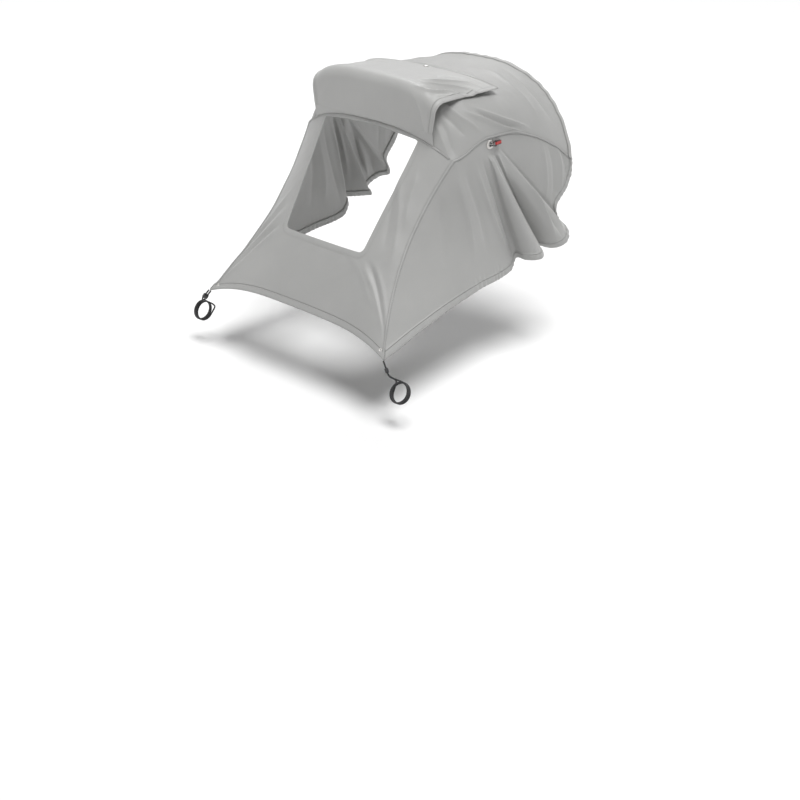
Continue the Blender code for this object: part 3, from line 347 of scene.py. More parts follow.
# %% How the side panel's columns run
GATHER = 0.012
EYELET_SEAM = BOW_SHARE + (1 - BOW_SHARE) * (0.068 / HOOD_LENGTH)
SEAM_SPAN = GATHER / HOOD_LENGTH * (1 - BOW_SHARE)
FRONT_SHARE, FOLD_SHARE, BEND_SHARE = 0.27, 0.53, 0.45
BEND_START = 0.88 * BOW_SHARE
COLUMN_TIP = 1 / 60
TABLE_STEP, CORNER_WIDTH = 0.0005, 0.012


def softened(stops, values, width):
    """A table of the stepwise line through the stops, with its corners rounded over the width."""
    u = np.linspace(-0.2, 1.2, round(1.4 / TABLE_STEP) + 1)
    inner = np.clip(u, 0, 1)
    first, last = (values[1] - values[0]) / stops[1], (values[-1] - values[-2]) / (1 - stops[-2])
    line = np.interp(inner, stops, values) + (u - inner) * np.where(u < 0.5, first, last)
    reach = int(width / TABLE_STEP)
    weight = np.hanning(2 * reach + 3)[1:-1]
    line = np.convolve(line, weight / weight.sum(), mode="same")
    return u, line


STOPS = (0.0, COLUMN_TIP, BEND_SHARE * FRONT_SHARE, FRONT_SHARE, FRONT_SHARE + FOLD_SHARE, 1.0)
EDGE_VALUES = (0.0, 0.07 * STRAIGHT_END, 0.7 * STRAIGHT_END, STRAIGHT_END, WING_START, 1.0)
SEAM_VALUES = (0.0, 0.07 * BOW_SHARE, BEND_START, EYELET_SEAM - SEAM_SPAN, EYELET_SEAM + SEAM_SPAN, 1.0)
EDGE_TABLE = softened(STOPS, EDGE_VALUES, CORNER_WIDTH)
SEAM_TABLE = softened(STOPS, SEAM_VALUES, CORNER_WIDTH)


def along_side(u):
    """For a column, the places on the free edge and on the seam that it joins."""
    u = np.asarray(u, float)
    return np.clip(np.interp(u, *EDGE_TABLE), 0, 1), np.clip(np.interp(u, *SEAM_TABLE), 0, 1)


def side_surface(u, up):
    """The right side panel, from the free edge (up = 0) to the seam (1)."""
    edge_t, seam_t = along_side(u)
    low, high = SIDE_EDGE(edge_t), side_seam(seam_t)
    return low + (high - low) * np.asarray(up, float)[..., None]


def side_span(u):
    edge_t, seam_t = along_side(u)
    return np.maximum(np.linalg.norm(SIDE_EDGE(edge_t) - side_seam(seam_t), axis=-1), 1e-5)


EYELET_RADIUS, EYELET_BORE, EYELET_BELOW_SEAM = 0.0078, 0.0035, 0.0105


def eyelet_frame():
    """Centre, outward normal and rearward direction of the right side eyelet, as the solid model has them."""
    u = np.array(FRONT_SHARE + 0.5 * FOLD_SHARE)
    centre = side_surface(u, 1 - EYELET_BELOW_SEAM / side_span(u))
    along = side_seam(EYELET_SEAM + SEAM_SPAN) - side_seam(EYELET_SEAM - SEAM_SPAN)
    down = side_surface(u, np.array(0.0)) - side_surface(u, np.array(1.0))
    normal = np.cross(down, along)
    return centre, normal / np.linalg.norm(normal), along / np.linalg.norm(along)


EYELET_CENTRE, EYELET_NORMAL, EYELET_ALONG = eyelet_frame()
print("eyelet at", np.round(EYELET_CENTRE, 4), "facing", np.round(EYELET_NORMAL, 3))


def side_place(u, up):
    """The side panel, pressed flat round the eyelet."""
    place = side_surface(u, up)
    gap = place - EYELET_CENTRE
    near = 1 - smooth(2.0 * EYELET_RADIUS, 3.5 * EYELET_RADIUS, np.linalg.norm(gap, axis=-1))
    return place - (near * (gap @ EYELET_NORMAL))[..., None] * EYELET_NORMAL


# %% The front panel and the crown
PANEL_FLATNESS = 3.5
CENTRE_LINE = spline([(0, -0.197, -0.3445), (0, -0.1367, -0.2436), (0, SEAM_TOP_Y, SEAM_TOP_Z)])
BOW_ROWS = 0.34
BOW_REACH = 0.2
CLOTH = 0.0010


def front_surface(across, up):
    """The front panel, from its hem between the ties (up = 0) to the seam over the window (1)."""
    across = np.asarray(across, float)
    s = np.abs(across)
    middle, edge = CENTRE_LINE(up), front_seam(up)
    near_seam = smooth(0.55, 1.0, up)
    y_bend = s ** (PANEL_FLATNESS + (5 - PANEL_FLATNESS) * near_seam)
    z_bend = s ** (PANEL_FLATNESS + (3 - PANEL_FLATNESS) * near_seam)
    return vectors(across * edge[..., 0], middle[..., 1] + (edge[..., 1] - middle[..., 1]) * y_bend,
                   middle[..., 2] + (edge[..., 2] - middle[..., 2]) * z_bend)


def arch(s, half, limit, power):
    """0 in the middle and 1 at the side: part of a superellipse."""
    k = half / limit
    drop = 1 - (1 - np.clip(k * s, 0, 1) ** power) ** (1 / power)
    return drop / (1 - (1 - k**power) ** (1 / power))


def crown_surface(across, back):
    """The crown, from the flap's seam (back = 0) over the bow to the rear hem (1)."""
    across = np.asarray(across, float)
    s = np.abs(across)
    turn = np.clip(back / BOW_ROWS, 0, 1) * math.pi / 2
    rest = np.clip((back - BOW_ROWS) / (1 - BOW_ROWS), 0, 1)
    level = HOOD_LENGTH - SEAM_TOP_Y - BOW_DEPTH
    middle_y = SEAM_TOP_Y + BOW_DEPTH * (1 - np.cos(turn) ** 0.8) + level * rest
    middle_z = SEAM_TOP_Z + (CLOTH - SEAM_TOP_Z) * np.sin(turn) ** 0.8
    middle_z = middle_z - HOOD_REAR_DROP * (1 - (1 - rest) ** 3)
    edge = crown_seam(BOW_REACH * np.clip(back / BOW_ROWS, 0, 1) + (1 - BOW_REACH) * rest)
    over = smooth(0, BOW_ROWS, back)
    round_off = arch(s, edge[..., 0], edge[..., 0] * 1.03, 4 - 1.5 * rest)
    drop = (1 - over) * s**3 + over * round_off
    sweep = (1 - over) * s**5 + over * s**2
    return vectors(across * edge[..., 0], middle_y + (edge[..., 1] - middle_y) * sweep,
                   middle_z + (edge[..., 2] - middle_z) * drop)


# %% The flap
FLAP_AXIS_Y, FLAP_AXIS_Z = SEAM_TOP_Y - 0.0030, SEAM_TOP_Z + 0.0020
FLAP_ROOT_HALF, FLAP_EDGE_HALF = 0.1315, 0.144
FLAP_RIDGE_Y, FLAP_RIDGE_Z, FLAP_ROUNDING = -0.0245, 0.0125, 0.022
FLAP_EDGE_Y, FLAP_EDGE_Z = 0.128, -0.0065
FLAP_SIDE_SETBACK, FLAP_SIDE_DROOP, FLAP_EDGE_DROOP = 0.009, 0.030, 0.013


def flap_surface(across, along):
    """The flap: 0 at its hinge, 1 and 2 where its rounded ridge starts and ends, 3 at its free edge."""
    across, along = np.asarray(across, float), np.asarray(along, float)
    s = np.abs(across)
    hinge = np.stack(np.broadcast_arrays(FLAP_AXIS_Y + 0.0040 * s**5, FLAP_AXIS_Z), axis=-1)
    bend = s**3.7
    ridge = np.stack([FLAP_RIDGE_Y + FLAP_SIDE_SETBACK * bend,
                      FLAP_RIDGE_Z - FLAP_SIDE_DROOP * bend], axis=-1)
    edge = np.stack([FLAP_EDGE_Y + 0.003 * s**2, FLAP_EDGE_Z - FLAP_EDGE_DROOP * s**2.5], axis=-1)
    up = (ridge - hinge) / np.linalg.norm(ridge - hinge, axis=-1)[..., None]
    back = (edge - ridge) / np.linalg.norm(edge - ridge, axis=-1)[..., None]
    start, end = ridge - FLAP_ROUNDING * up, ridge + FLAP_ROUNDING * back
    a, b, c = (np.clip(along - k, 0, 1)[..., None] for k in range(3))
    rounded = (1 - b) ** 2 * start + 2 * b * (1 - b) * ridge + b**2 * end
    yz = np.where(along[..., None] <= 1, hinge + (start - hinge) * a,
                  np.where(along[..., None] <= 2, rounded, end + (edge - end) * c))
    half = FLAP_ROOT_HALF + (FLAP_EDGE_HALF - FLAP_ROOT_HALF) * along / 3
    return vectors(across * half, yz[..., 0], yz[..., 1])


# %% [markdown]
# ## Folds
# Taut cloth shows long ridges that run from where it is held: the tie's corner, the window's corners and
# the eyelet. A cloth simulation would need everything that the cloth is stretched over. So each fold that
# the photograph shows is laid in as a line with a height and a width, with gentle waves between
# them. A fold moves the cloth as a function of place alone, so panels that share a seam move together and
# stay closed.

# %% The lines of the folds
# height (negative is a valley) before it is scaled below, width, then the points, all in mm
FRONT_FOLDS = (
    (1.2, 5.5, (87, -137, -248), (110, -147, -266), (136, -158, -287), (167, -176, -319), (195, -196, -350)),
    (-1.3, 4.5, (98, -135, -246), (120, -144, -264), (148, -160, -293), (179, -182, -329), (200, -201, -356)),
    (0.9, 5.0, (107, -132, -245), (133, -143, -267), (160, -160, -298), (189, -187, -338), (198, -199, -353)),
    (1.2, 8.0, (100, -46, -121), (106, -65, -151), (121, -84, -185), (135, -108, -225), (146, -134, -262)),
    (-1.1, 7.0, (88, -52, -126), (102, -77, -166), (112, -98, -200), (124, -124, -240)),
    (1.1, 7.0, (119, -35, -115), (124, -51, -142), (128, -69, -171), (140, -92, -210)),
    (0.7, 9.0, (56, -139, -249), (91, -146, -262), (123, -161, -289), (156, -177, -318)),
)
LEFT_FRONT_FOLDS = (
    (1.3, 6.0, (-88, -130, -236), (-118, -146, -264), (-143, -160, -292), (-167, -179, -323),
     (-194, -200, -354)),
    (-1.2, 5.5, (-96, -124, -232), (-130, -143, -268), (-153, -160, -296), (-184, -186, -336)),
    (1.1, 6.0, (-98, -106, -212), (-128, -132, -252), (-153, -150, -284), (-179, -174, -319),
     (-194, -198, -350)),
    (-0.9, 6.0, (-108, -104, -208), (-134, -124, -242), (-160, -148, -288), (-182, -176, -326)),
    (0.8, 7.0, (-106, -86, -180), (-140, -118, -238), (-166, -148, -292), (-186, -178, -332)),
)
SIDE_FOLDS = (
    (-1.5, 10.0, (168, 14, -108), (175, 30, -153), (185, 49, -213), (191, 56, -257), (195, 58, -286)),
    (1.4, 10.0, (164, -1, -113), (172, 9, -163), (182, 20, -214), (190, 22, -264), (195, 23, -290)),
    (-1.1, 10.0, (158, -28, -148), (166, -31, -195), (176, -35, -242), (185, -45, -280)),
    (1.6, 5.0, (174, 34, -104), (182, 60, -180), (190, 84, -240), (197, 108, -300)),
    (-2.4, 4.5, (175, 50, -100), (183, 76, -160), (192, 100, -230), (199, 122, -300)),
    (1.6, 4.0, (177, 58, -98), (188, 92, -170), (198, 120, -240), (206, 134, -300)),
    (-2.6, 4.0, (178, 68, -98), (192, 102, -168), (208, 132, -240), (222, 146, -305)),
    (2.8, 4.2, (179, 76, -98), (196, 116, -168), (214, 148, -240), (228, 162, -305)),
    (-3.5, 2.6, (179, 88, -98), (191, 128, -160), (198, 160, -215), (202, 188, -270), (202, 200, -310)),
    (-9.5, 4.4, (179, 84, -96), (189, 122, -160), (195, 152, -215), (198, 178, -270), (197, 190, -310)),
    (3.2, 4.0, (182, 96, -96), (202, 142, -168), (216, 178, -232), (228, 206, -292)),
    (-3.4, 3.4, (183, 104, -96), (204, 152, -168), (220, 190, -232), (232, 216, -284)),
    (2.4, 3.8, (185, 114, -98), (204, 164, -170), (216, 200, -228), (228, 228, -280)),
    (1.0, 5.0, (190, 189, -105), (193, 200, -145), (196, 205, -181), (195, 203, -225)),
    (-0.9, 5.0, (192, 203, -112), (195, 220, -149), (198, 225, -194), (199, 221, -236)),
    (1.0, 5.0, (194, 220, -120), (197, 240, -154), (200, 242, -189), (201, 240, -224)),
    (-0.8, 5.0, (196, 236, -130), (199, 254, -166), (201, 256, -200)),
)
CROWN_FOLDS = (
    (1.3, 5.0, (114, 16, -17), (135, 21, -33), (151, 29, -46), (163, 43, -59), (173, 62, -76)),
    (-1.0, 5.0, (120, 9, -30), (136, 13, -44), (152, 21, -59), (166, 32, -78)),
    (2.0, 3.8, (144, 32, -33), (159, 50, -45), (166, 68, -54), (172, 88, -65), (179, 114, -78),
     (187, 160, -94)),
    (-1.3, 4.0, (152, 50, -35), (167, 82, -54), (176, 110, -69), (184, 150, -84)),
    (1.9, 3.8, (149, 50, -30), (160, 74, -44), (171, 103, -59), (178, 131, -71), (186, 176, -90)),
    (0.9, 5.0, (125, -2, -50), (137, -4, -72), (145, -4, -85), (156, -5, -103)),
    (-0.8, 4.5, (130, 5, -46), (145, 5, -70), (153, 5, -87), (162, 5, -104)),
    (1.0, 8.0, (43, 207, -15), (109, 192, -25), (153, 190, -47), (178, 201, -78)),
    (-1.0, 7.0, (62, 238, -18), (126, 226, -36), (167, 229, -69), (183, 238, -97)),
)
FLAP_FOLDS = (
    (-0.6, 4.0, (58, 61, 1), (67, 76, -2), (74, 92, -4), (87, 103, -7), (99, 108, -9)),
    (1.7, 3.2, (70, 6, 6), (87, 33, 1), (100, 67, -5), (113, 91, -10), (125, 98, -14), (144, 110, -19)),
    (-1.3, 3.5, (78, 4, 5), (92, 24, 1), (104, 49, -4), (119, 75, -11), (134, 87, -16), (148, 97, -21)),
    (2.0, 3.0, (80, -10, 7), (91, 4, 3), (106, 31, -3), (123, 63, -11), (137, 77, -16), (150, 90, -22)),
    (-1.3, 3.5, (94, -9, 3), (105, 3, 0), (117, 33, -7), (129, 54, -13), (142, 72, -19), (150, 82, -22)),
    (1.8, 3.2, (81, -14, 4), (95, -12, 1), (113, -6, -3), (123, 26, -9), (133, 43, -14), (144, 56, -20)),
    (-0.8, 3.0, (110, -12, -4), (118, -4, -6), (125, 16, -9), (132, 30, -13)),
    (0.9, 3.0, (123, -14, -14), (125, -7, -11), (130, 18, -12), (134, 35, -15), (140, 44, -18)),
    (1.8, 5.0, (91, -20, -5), (100, -21, -22), (108, -20, -40), (114, -19, -62), (121, -18, -84)),
    (-1.2, 7.0, (80, -22, -12), (86, -22, -34), (89, -21, -53), (95, -20, -72)),
    (-1.0, 6.0, (107, -19, -8), (119, -19, -29), (125, -18, -47), (129, -18, -72)),
    (0.7, 7.0, (-67, -22, -4), (-88, -22, -23), (-109, -20, -48), (-124, -18, -72)),
    (-0.7, 5.0, (-120, 122, -16), (-60, 126, -8), (0, 126, -6), (60, 127, -8), (97, 128, -11),
     (127, 124, -16)),
    (-1.2, 14.0, (-128, 20, -14), (-134, 60, -17), (-140, 100, -19), (-142, 140, -22)),
)


# %% How a fold moves the cloth
def along_line(p, line):
    """Each point's distance to the line and how far along it the nearest place is, from 0 to 1."""
    a, b = line[:-1], line[1:]
    run = b - a
    length = np.linalg.norm(run, axis=1)
    start = np.concatenate([[0], np.cumsum(length)])
    best = np.full(len(p), np.inf)
    where = np.zeros(len(p))
    for i in range(len(run)):
        q = np.clip(((p - a[i]) @ run[i]) / length[i] ** 2, 0, 1)
        d = np.linalg.norm(p - a[i] - q[:, None] * run[i], axis=1)
        nearer = d < best
        best = np.where(nearer, d, best)
        where = np.where(nearer, (start[i] + q * length[i]) / start[-1], where)
    return best, where


HOOD_MIDDLE = np.array([0.0, 0.06, -0.34])


def outwards(p):
    gap = p - HOOD_MIDDLE
    return gap / np.linalg.norm(gap, axis=-1)[..., None]


def waves(p, scale, seed):
    """Gentle irregular waves between -1 and 1: a few sines in fixed directions."""
    spin = np.random.default_rng(seed)
    total = np.zeros(p.shape[:-1])
    for _ in range(6):
        way = spin.normal(size=3)
        way *= spin.uniform(0.7, 1.5) / np.linalg.norm(way) / scale
        total += np.sin(2 * math.pi * (p @ way) + spin.uniform(0, 6.28))
    return total / 3.5


FOLD_SCALE, FOLD_REACH = 2.7, 0.2


def relief(p, folds):
    """How far the folds lift each point of the cloth, in metres. Each fold runs out at its line's ends."""
    lift = np.zeros(len(p))
    for height, width, *line in folds:
        line = spline(np.array(line) / 1000)(np.linspace(0, 1, 4 * len(line)))
        near = np.abs(p - line.mean(axis=0)).max(axis=1) < FOLD_REACH
        gap, where = along_line(p[near], line)
        ends = smooth(0, 0.28, where) * (1 - smooth(0.70, 1.0, where))
        soft = 0.22 * width / 1000
        crest = np.exp(-(np.sqrt(gap**2 + soft**2) - soft) / (0.75 * width / 1000))
        lift[near] += FOLD_SCALE * height / 1000 * crest * ends
    return lift


STUD_Y = 0.117
# the cloth keeps its place round the eyelets, the corner eyelets and the stud: centre and radius
PINNED = ((EYELET_CENTRE, 0.010), ((0.1965, -0.2020, -0.3575), 0.005), ((0, STUD_Y, -0.008), 0.007))
EDGE_LINE = SIDE_EDGE(np.linspace(0, 1, 160))


def gathers(p):
    """Small waves where the elastic draws in a hem, fading within 3 cm of it."""
    mirror = np.abs(p[:, 0])[:, None] * [1, 0, 0] + p * [0, 1, 1]
    gap, where = along_line(mirror, EDGE_LINE)
    side = (1 - smooth(0.004, 0.030, gap)) * smooth(0.06, 0.20, where)
    waved = np.sin(where * 2 * math.pi * 74 + 1.5 * np.sin(where * 61)) * np.sin(where * 47) * side
    angle = np.arctan2(p[:, 0], p[:, 2] + 0.22)
    rear = smooth(HOOD_LENGTH - 0.030, HOOD_LENGTH - 0.006, p[:, 1])
    return 0.0007 * waved + 0.0005 * rear * np.sin(46 * angle + 2 * np.sin(9 * angle))


RIPPLE = 0.0005


def settle(p, folds):
    """The cloth's points moved by the folds, the gathers and by a slow and a quick set of waves."""
    flat = p.reshape(-1, 3)
    lift = relief(flat, folds) + gathers(flat)
    lift += RIPPLE * waves(flat, 0.075, 3) + 0.25 * RIPPLE * waves(flat, 0.022, 7)
    for centre, radius in PINNED:
        gap = np.linalg.norm(np.abs(flat) * [1, 0, 0] + flat * [0, 1, 1] - centre, axis=1)
        lift *= smooth(radius, 2 * radius, gap)
    return p + (outwards(flat) * lift[:, None]).reshape(p.shape)


def other_side(folds):
    """The folds mirrored to the left, a little lower and wider, as no two sides hang alike."""
    return tuple((0.85 * h, 1.15 * w, *[(-x, y + 3, z) for x, y, z in line]) for h, w, *line in folds)


# behind the flap's free edge the crown stands up a little, and its left shoulder lies lower
MIDDLE_FOLDS = (
    (1.6, 8.0, (-90, 142, -22), (-42, 142, -13), (0, 142, -12), (51, 142, -13), (85, 140, -16),
     (130, 136, -27)),
    (-1.2, 22.0, (-40, 130, -12), (-70, 150, -18), (-100, 180, -27), (-120, 220, -40)),
)
SAIL_FOLDS = (FRONT_FOLDS + LEFT_FRONT_FOLDS + SIDE_FOLDS + other_side(SIDE_FOLDS) + CROWN_FOLDS
              + other_side(CROWN_FOLDS) + MIDDLE_FOLDS)
print(len(SAIL_FOLDS), "folds in the sail,", len(FLAP_FOLDS), "in the flap")

# %% [markdown]
# ## Sheets of cloth
# Every panel starts as a flat grid and is laid on its surface. Its hem swells where it is doubled, the
# folds move it, and Solidify gives it the thickness of cloth. The cloth's own measures, in metres, become
# its UV map, so that the weave keeps its scale, and the distance to each edge is stored for the sewn lines.

# %% Make a sheet from a surface
WEB, TURNED_WEB, FINE_WEB = 0.0006, 0.0005, 0.0004
MERGE = 0.00002
NUDGE = 1e-4  # how far a parameter is moved to measure a slope


def facing(place, u, v):
    """The surface's unit normals on the side that faces away from the hood."""
    n = np.cross(place(u + NUDGE, v) - place(u - NUDGE, v), place(u, v + NUDGE) - place(u, v - NUDGE))
    n /= np.maximum(np.linalg.norm(n, axis=-1), 1e-12)[..., None]
    return n * np.sign((n * outwards(place(u, v))).sum())


def laid(place, u, v, lift, folds=SAIL_FOLDS, side=1):
    """The cloth's points on a surface, moved by the folds and then raised off it by the lift."""
    base, out = on_side(place(u, v), side), on_side(facing(place, u, v), side)
    return settle(base, folds) + out * lift[..., None]


def face_outwards(bm):
    """Turns all faces over if most of them face the hood."""
    bm.normal_update()
    total = 0.0
    for face in bm.faces:
        away = Vector(outwards(np.array(face.calc_center_median())))
        total += face.normal.dot(away) * face.calc_area()
    if total < 0:
        bmesh.ops.reverse_faces(bm, faces=bm.faces[:])


def to_object(name, bm):
    mesh = bpy.data.meshes.new(name)
    bm.to_mesh(mesh)
    bm.free()
    mesh.shade_smooth()
    obj = bpy.data.objects.new(name, mesh)
    HOME.objects.link(obj)
    return obj


def thicken(obj, thickness=WEB, edge=0.00018):
    solid = obj.modifiers.new("Cloth thickness", "SOLIDIFY")
    solid.thickness = thickness
    solid.offset = -1
    if edge:
        bevel = obj.modifiers.new("Worn edge", "BEVEL")
        bevel.width = edge
        bevel.segments = 2
        bevel.limit_method = "ANGLE"
        bevel.angle_limit = math.radians(60)
    return obj


def lay_sheet(name, points, gaps, hole=None, merge=0.0):
    """A sheet through an array of points [row, column, xyz]. gaps holds a distance for each point by name."""
    rows, columns = points.shape[:2]
    steps = np.linalg.norm(np.diff(points, axis=1), axis=2).mean(axis=0)
    climbs = np.linalg.norm(np.diff(points, axis=0), axis=2)
    along = np.concatenate([[0], np.cumsum(steps)])
    across = np.concatenate([np.zeros((1, columns)), np.cumsum(climbs, axis=0)], axis=0)
    bm = bmesh.new()
    bmesh.ops.create_grid(bm, x_segments=columns - 1, y_segments=rows - 1, size=0.5)
    column = [round((v.co.x + 0.5) * (columns - 1)) for v in bm.verts]
    row = [round((v.co.y + 0.5) * (rows - 1)) for v in bm.verts]
    uv = bm.loops.layers.uv.new("UVMap")
    layers = {key: bm.verts.layers.float.new(key) for key in gaps}
    for vert, i, j in zip(bm.verts, column, row):
        vert.co = points[j, i]
        for key, layer in layers.items():
            vert[layer] = gaps[key][j, i]
        for loop in vert.link_loops:
            loop[uv].uv = (along[i], across[j, i])
    if merge:
        bmesh.ops.remove_doubles(bm, verts=bm.verts[:], dist=merge)
    if hole:
        hole(bm)
    face_outwards(bm)
    return to_object(name, bm)


def finish_piece(obj, material, slot, body, *nodes):
    """Gives a piece its material, the body it moves with and the solid nodes that it stands for; its slot is
    not used.
    """
    obj.data.materials.append(material)
    if body:
        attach(obj, body)
    if nodes:
        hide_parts(*nodes)


def repaint(node, material):
    """A node of the solid model whose shape is right keeps it and gets a finished material."""
    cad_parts[node].data.materials.clear()
    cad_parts[node].data.materials.append(material)


# %% [markdown]
# ## Materials
# The cloth is a fine plain weave with a slight sheen. Its threads are two crossed waves that follow the UV
# map, each seam has a pressed groove darkened with painted shade and dust, and the grey drifts a little, as
# dyed cloth does. The flap's cloth is painted lighter, as painted light, and has a painted shadow along its
# free edge. A photograph of cloth would be easier, but it would fix the light and the scale.

# %% Helpers for shader nodes
def new_material(name):
    mat = bpy.data.materials.new(name)
    mat.use_nodes = True
    return mat, mat.node_tree.nodes, mat.node_tree.links, mat.node_tree.nodes["Principled BSDF"]


def add(nodes, kind, **values):
    node = nodes.new(kind)
    for key, value in values.items():
        setattr(node, key, value)
    return node


def maths(nodes, links, operation, a, b=None):
    node = add(nodes, "ShaderNodeMath", operation=operation)
    for socket, value in zip(node.inputs, (a, b)):
        if value is None:
            continue
        if isinstance(value, (int, float)):
            socket.default_value = value
        else:
            links.new(value, socket)
    return node.outputs[0]


def noise(nodes, links, scale, detail=2.0):
    """Noise over the object's own coordinates."""
    texture = add(nodes, "ShaderNodeTexNoise")
    texture.inputs["Scale"].default_value = scale
    texture.inputs["Detail"].default_value = detail
    links.new(add(nodes, "ShaderNodeTexCoord").outputs["Object"], texture.inputs["Vector"])
    return texture.outputs["Fac"]


def two_tones(nodes, links, share, dark, light):
    """A colour between two tones."""
    mix = add(nodes, "ShaderNodeMix", data_type="RGBA")
    mix.inputs[6].default_value, mix.inputs[7].default_value = (*dark, 1), (*light, 1)
    links.new(share, mix.inputs[0])
    return mix.outputs[2]


def emboss(nodes, links, shader, height, distance, strength=1.0):
    """Shows a height as relief on the surface."""
    bump = add(nodes, "ShaderNodeBump")
    bump.inputs["Strength"].default_value = strength
    bump.inputs["Distance"].default_value = distance
    links.new(height, bump.inputs["Height"])
    links.new(bump.outputs["Normal"], shader.inputs["Normal"])


def line_mask(nodes, links, attribute, offset, width):
    """1 on the line that lies at this distance from the edge, 0 beyond its width."""
    gap = add(nodes, "ShaderNodeAttribute", attribute_name=attribute).outputs["Fac"]
    away = maths(nodes, links, "ABSOLUTE", maths(nodes, links, "SUBTRACT", gap, offset))
    ramp = add(nodes, "ShaderNodeMapRange", interpolation_type="SMOOTHSTEP")
    ramp.inputs["From Max"].default_value = width
    ramp.inputs["To Min"].default_value = 1.0
    ramp.inputs["To Max"].default_value = 0.0
    links.new(away, ramp.inputs["Value"])
    return ramp.outputs["Result"]


# %% The cloth
# a wave texture of scale 1 repeats after this length, straight and diagonally
WAVE_PERIOD, DIAGONAL_PERIOD = 0.3142, 0.6283


def weave_height(nodes, links, pitch):
    """The height of a plain weave: warp and weft threads of the given pitch in metres."""
    uv = add(nodes, "ShaderNodeUVMap", uv_map="UVMap").outputs["UV"]
    parts = []
    for direction in ("X", "Y"):
        wave = add(nodes, "ShaderNodeTexWave", wave_type="BANDS", bands_direction=direction,
                   wave_profile="SIN")
        wave.inputs["Scale"].default_value = WAVE_PERIOD / pitch
        wave.inputs["Distortion"].default_value = 0.6
        wave.inputs["Detail Scale"].default_value = 2.0
        links.new(uv, wave.inputs["Vector"])
        parts.append(wave.outputs["Fac"])
    return maths(nodes, links, "MULTIPLY", parts[0], parts[1])


# each sewn line is a groove and a darker tone: painted shade and dust in the groove
GROOVE_SHADE_AND_DUST, GROOVE_SHADE_AND_DUST_TONE = 0.24, (0.45, 0.45, 0.44, 1)


def cloth_material(name, dark, light, lines=(), pitch=0.00045, roughness=0.42, weave=0.18):
    """Woven cloth. Each sewn line has an attribute, its distance from that edge, a width and a depth, and
    darkens the colour with painted shade and dust.
    """
    mat, nodes, links, shader = new_material(name)
    drift, speck = noise(nodes, links, 7.0, 4.0), noise(nodes, links, 900.0)
    tone = maths(nodes, links, "ADD", maths(nodes, links, "MULTIPLY", drift, 0.7),
                 maths(nodes, links, "MULTIPLY", speck, 0.3))
    ramp = add(nodes, "ShaderNodeMapRange")
    ramp.inputs["From Min"].default_value, ramp.inputs["From Max"].default_value = 0.35, 0.65
    links.new(tone, ramp.inputs["Value"])
    colour = two_tones(nodes, links, ramp.outputs["Result"], dark, light)
    height = maths(nodes, links, "MULTIPLY", weave_height(nodes, links, pitch), weave)
    for attribute, offset, width, depth in lines:
        mask = line_mask(nodes, links, attribute, offset, width)
        height = maths(nodes, links, "SUBTRACT", height, maths(nodes, links, "MULTIPLY", mask, depth))
        # painted shade and dust: the colour darkens along each line
        shade = add(nodes, "ShaderNodeMix", data_type="RGBA", blend_type="MULTIPLY")
        links.new(maths(nodes, links, "MULTIPLY", mask, GROOVE_SHADE_AND_DUST * depth), shade.inputs[0])
        links.new(colour, shade.inputs[6])
        shade.inputs[7].default_value = GROOVE_SHADE_AND_DUST_TONE
        colour = shade.outputs[2]
    links.new(colour, shader.inputs["Base Color"])
    emboss(nodes, links, shader, height, 0.00035, 0.8)
    shader.inputs["Roughness"].default_value = roughness
    shader.inputs["Sheen Weight"].default_value = 0.30
    shader.inputs["Sheen Roughness"].default_value = 0.4
    shader.inputs["Specular IOR Level"].default_value = 0.5
    return mat


GREY_DARK, GREY_LIGHT = (0.365, 0.365, 0.358), (0.415, 0.415, 0.406)
SEWN_ROWS = (0.0010, 0.0046)
# the flap's free edge gets a dark line of painted shadow, where shade falls under it; this value marks that
# edge
SHADOW_EDGE_MARK = 0.0100  # the flap's free edge has this value in shadow_edge_gap, which is 0 wherever it isn't stored
SAIL = cloth_material("sail_cloth", GREY_DARK, GREY_LIGHT, lines=(
    ("seam_gap", 0.0, 0.0006, 2.8), ("hem_gap", 0.0110, 0.0008, 3.2), ("window_gap", 0.0078, 0.0004, 0.5)))
BAND = cloth_material("sewn_band", GREY_DARK, GREY_LIGHT, lines=[
    ("band_gap", row, 0.0004, 0.8) for row in SEWN_ROWS])
# the flap is the sail's cloth painted lighter: painted light where it catches more of the lamps. Its last
# line is the painted shadow along the free edge
LIT_FLAP_CLOTH = cloth_material("flap_cloth", (0.425, 0.425, 0.417), (0.480, 0.480, 0.470), lines=(
    ("hem_gap", 0.0016, 0.0005, 1.0), ("hem_gap", 0.0068, 0.0010, 2.4), ("shadow_edge_gap", SHADOW_EDGE_MARK, 0.0034, 5.0)))
TAPE = cloth_material("grey_tape", (0.32, 0.32, 0.313), (0.37, 0.37, 0.362), pitch=0.0007, roughness=0.8)
ELASTIC = cloth_material("white_elastic", (0.62, 0.62, 0.60), (0.74, 0.74, 0.72), pitch=0.0009,
                         roughness=0.85, weave=0.9)

# %% [markdown]
# ## The front panel
# It is pulled taut between the hood's bow and the ties. Its window is cut through the grid: the faces
# inside the outline are deleted and the rim's vertices are moved onto the outline, which keeps the mesh
# even. A Boolean would leave thin triangles that show in the folds.

# %% The window's outline, laid on the panel
WINDOW_TOP_HALF, WINDOW_BOTTOM_HALF = 0.105, 0.0895
WINDOW_TOP_Z, WINDOW_BOTTOM_Z, WINDOW_ARCH, WINDOW_RADIUS = -0.0725, -0.2436, 0.0085, 0.009
TOP_CORNER = 0.004
OUTLINE_STEP = 0.0016


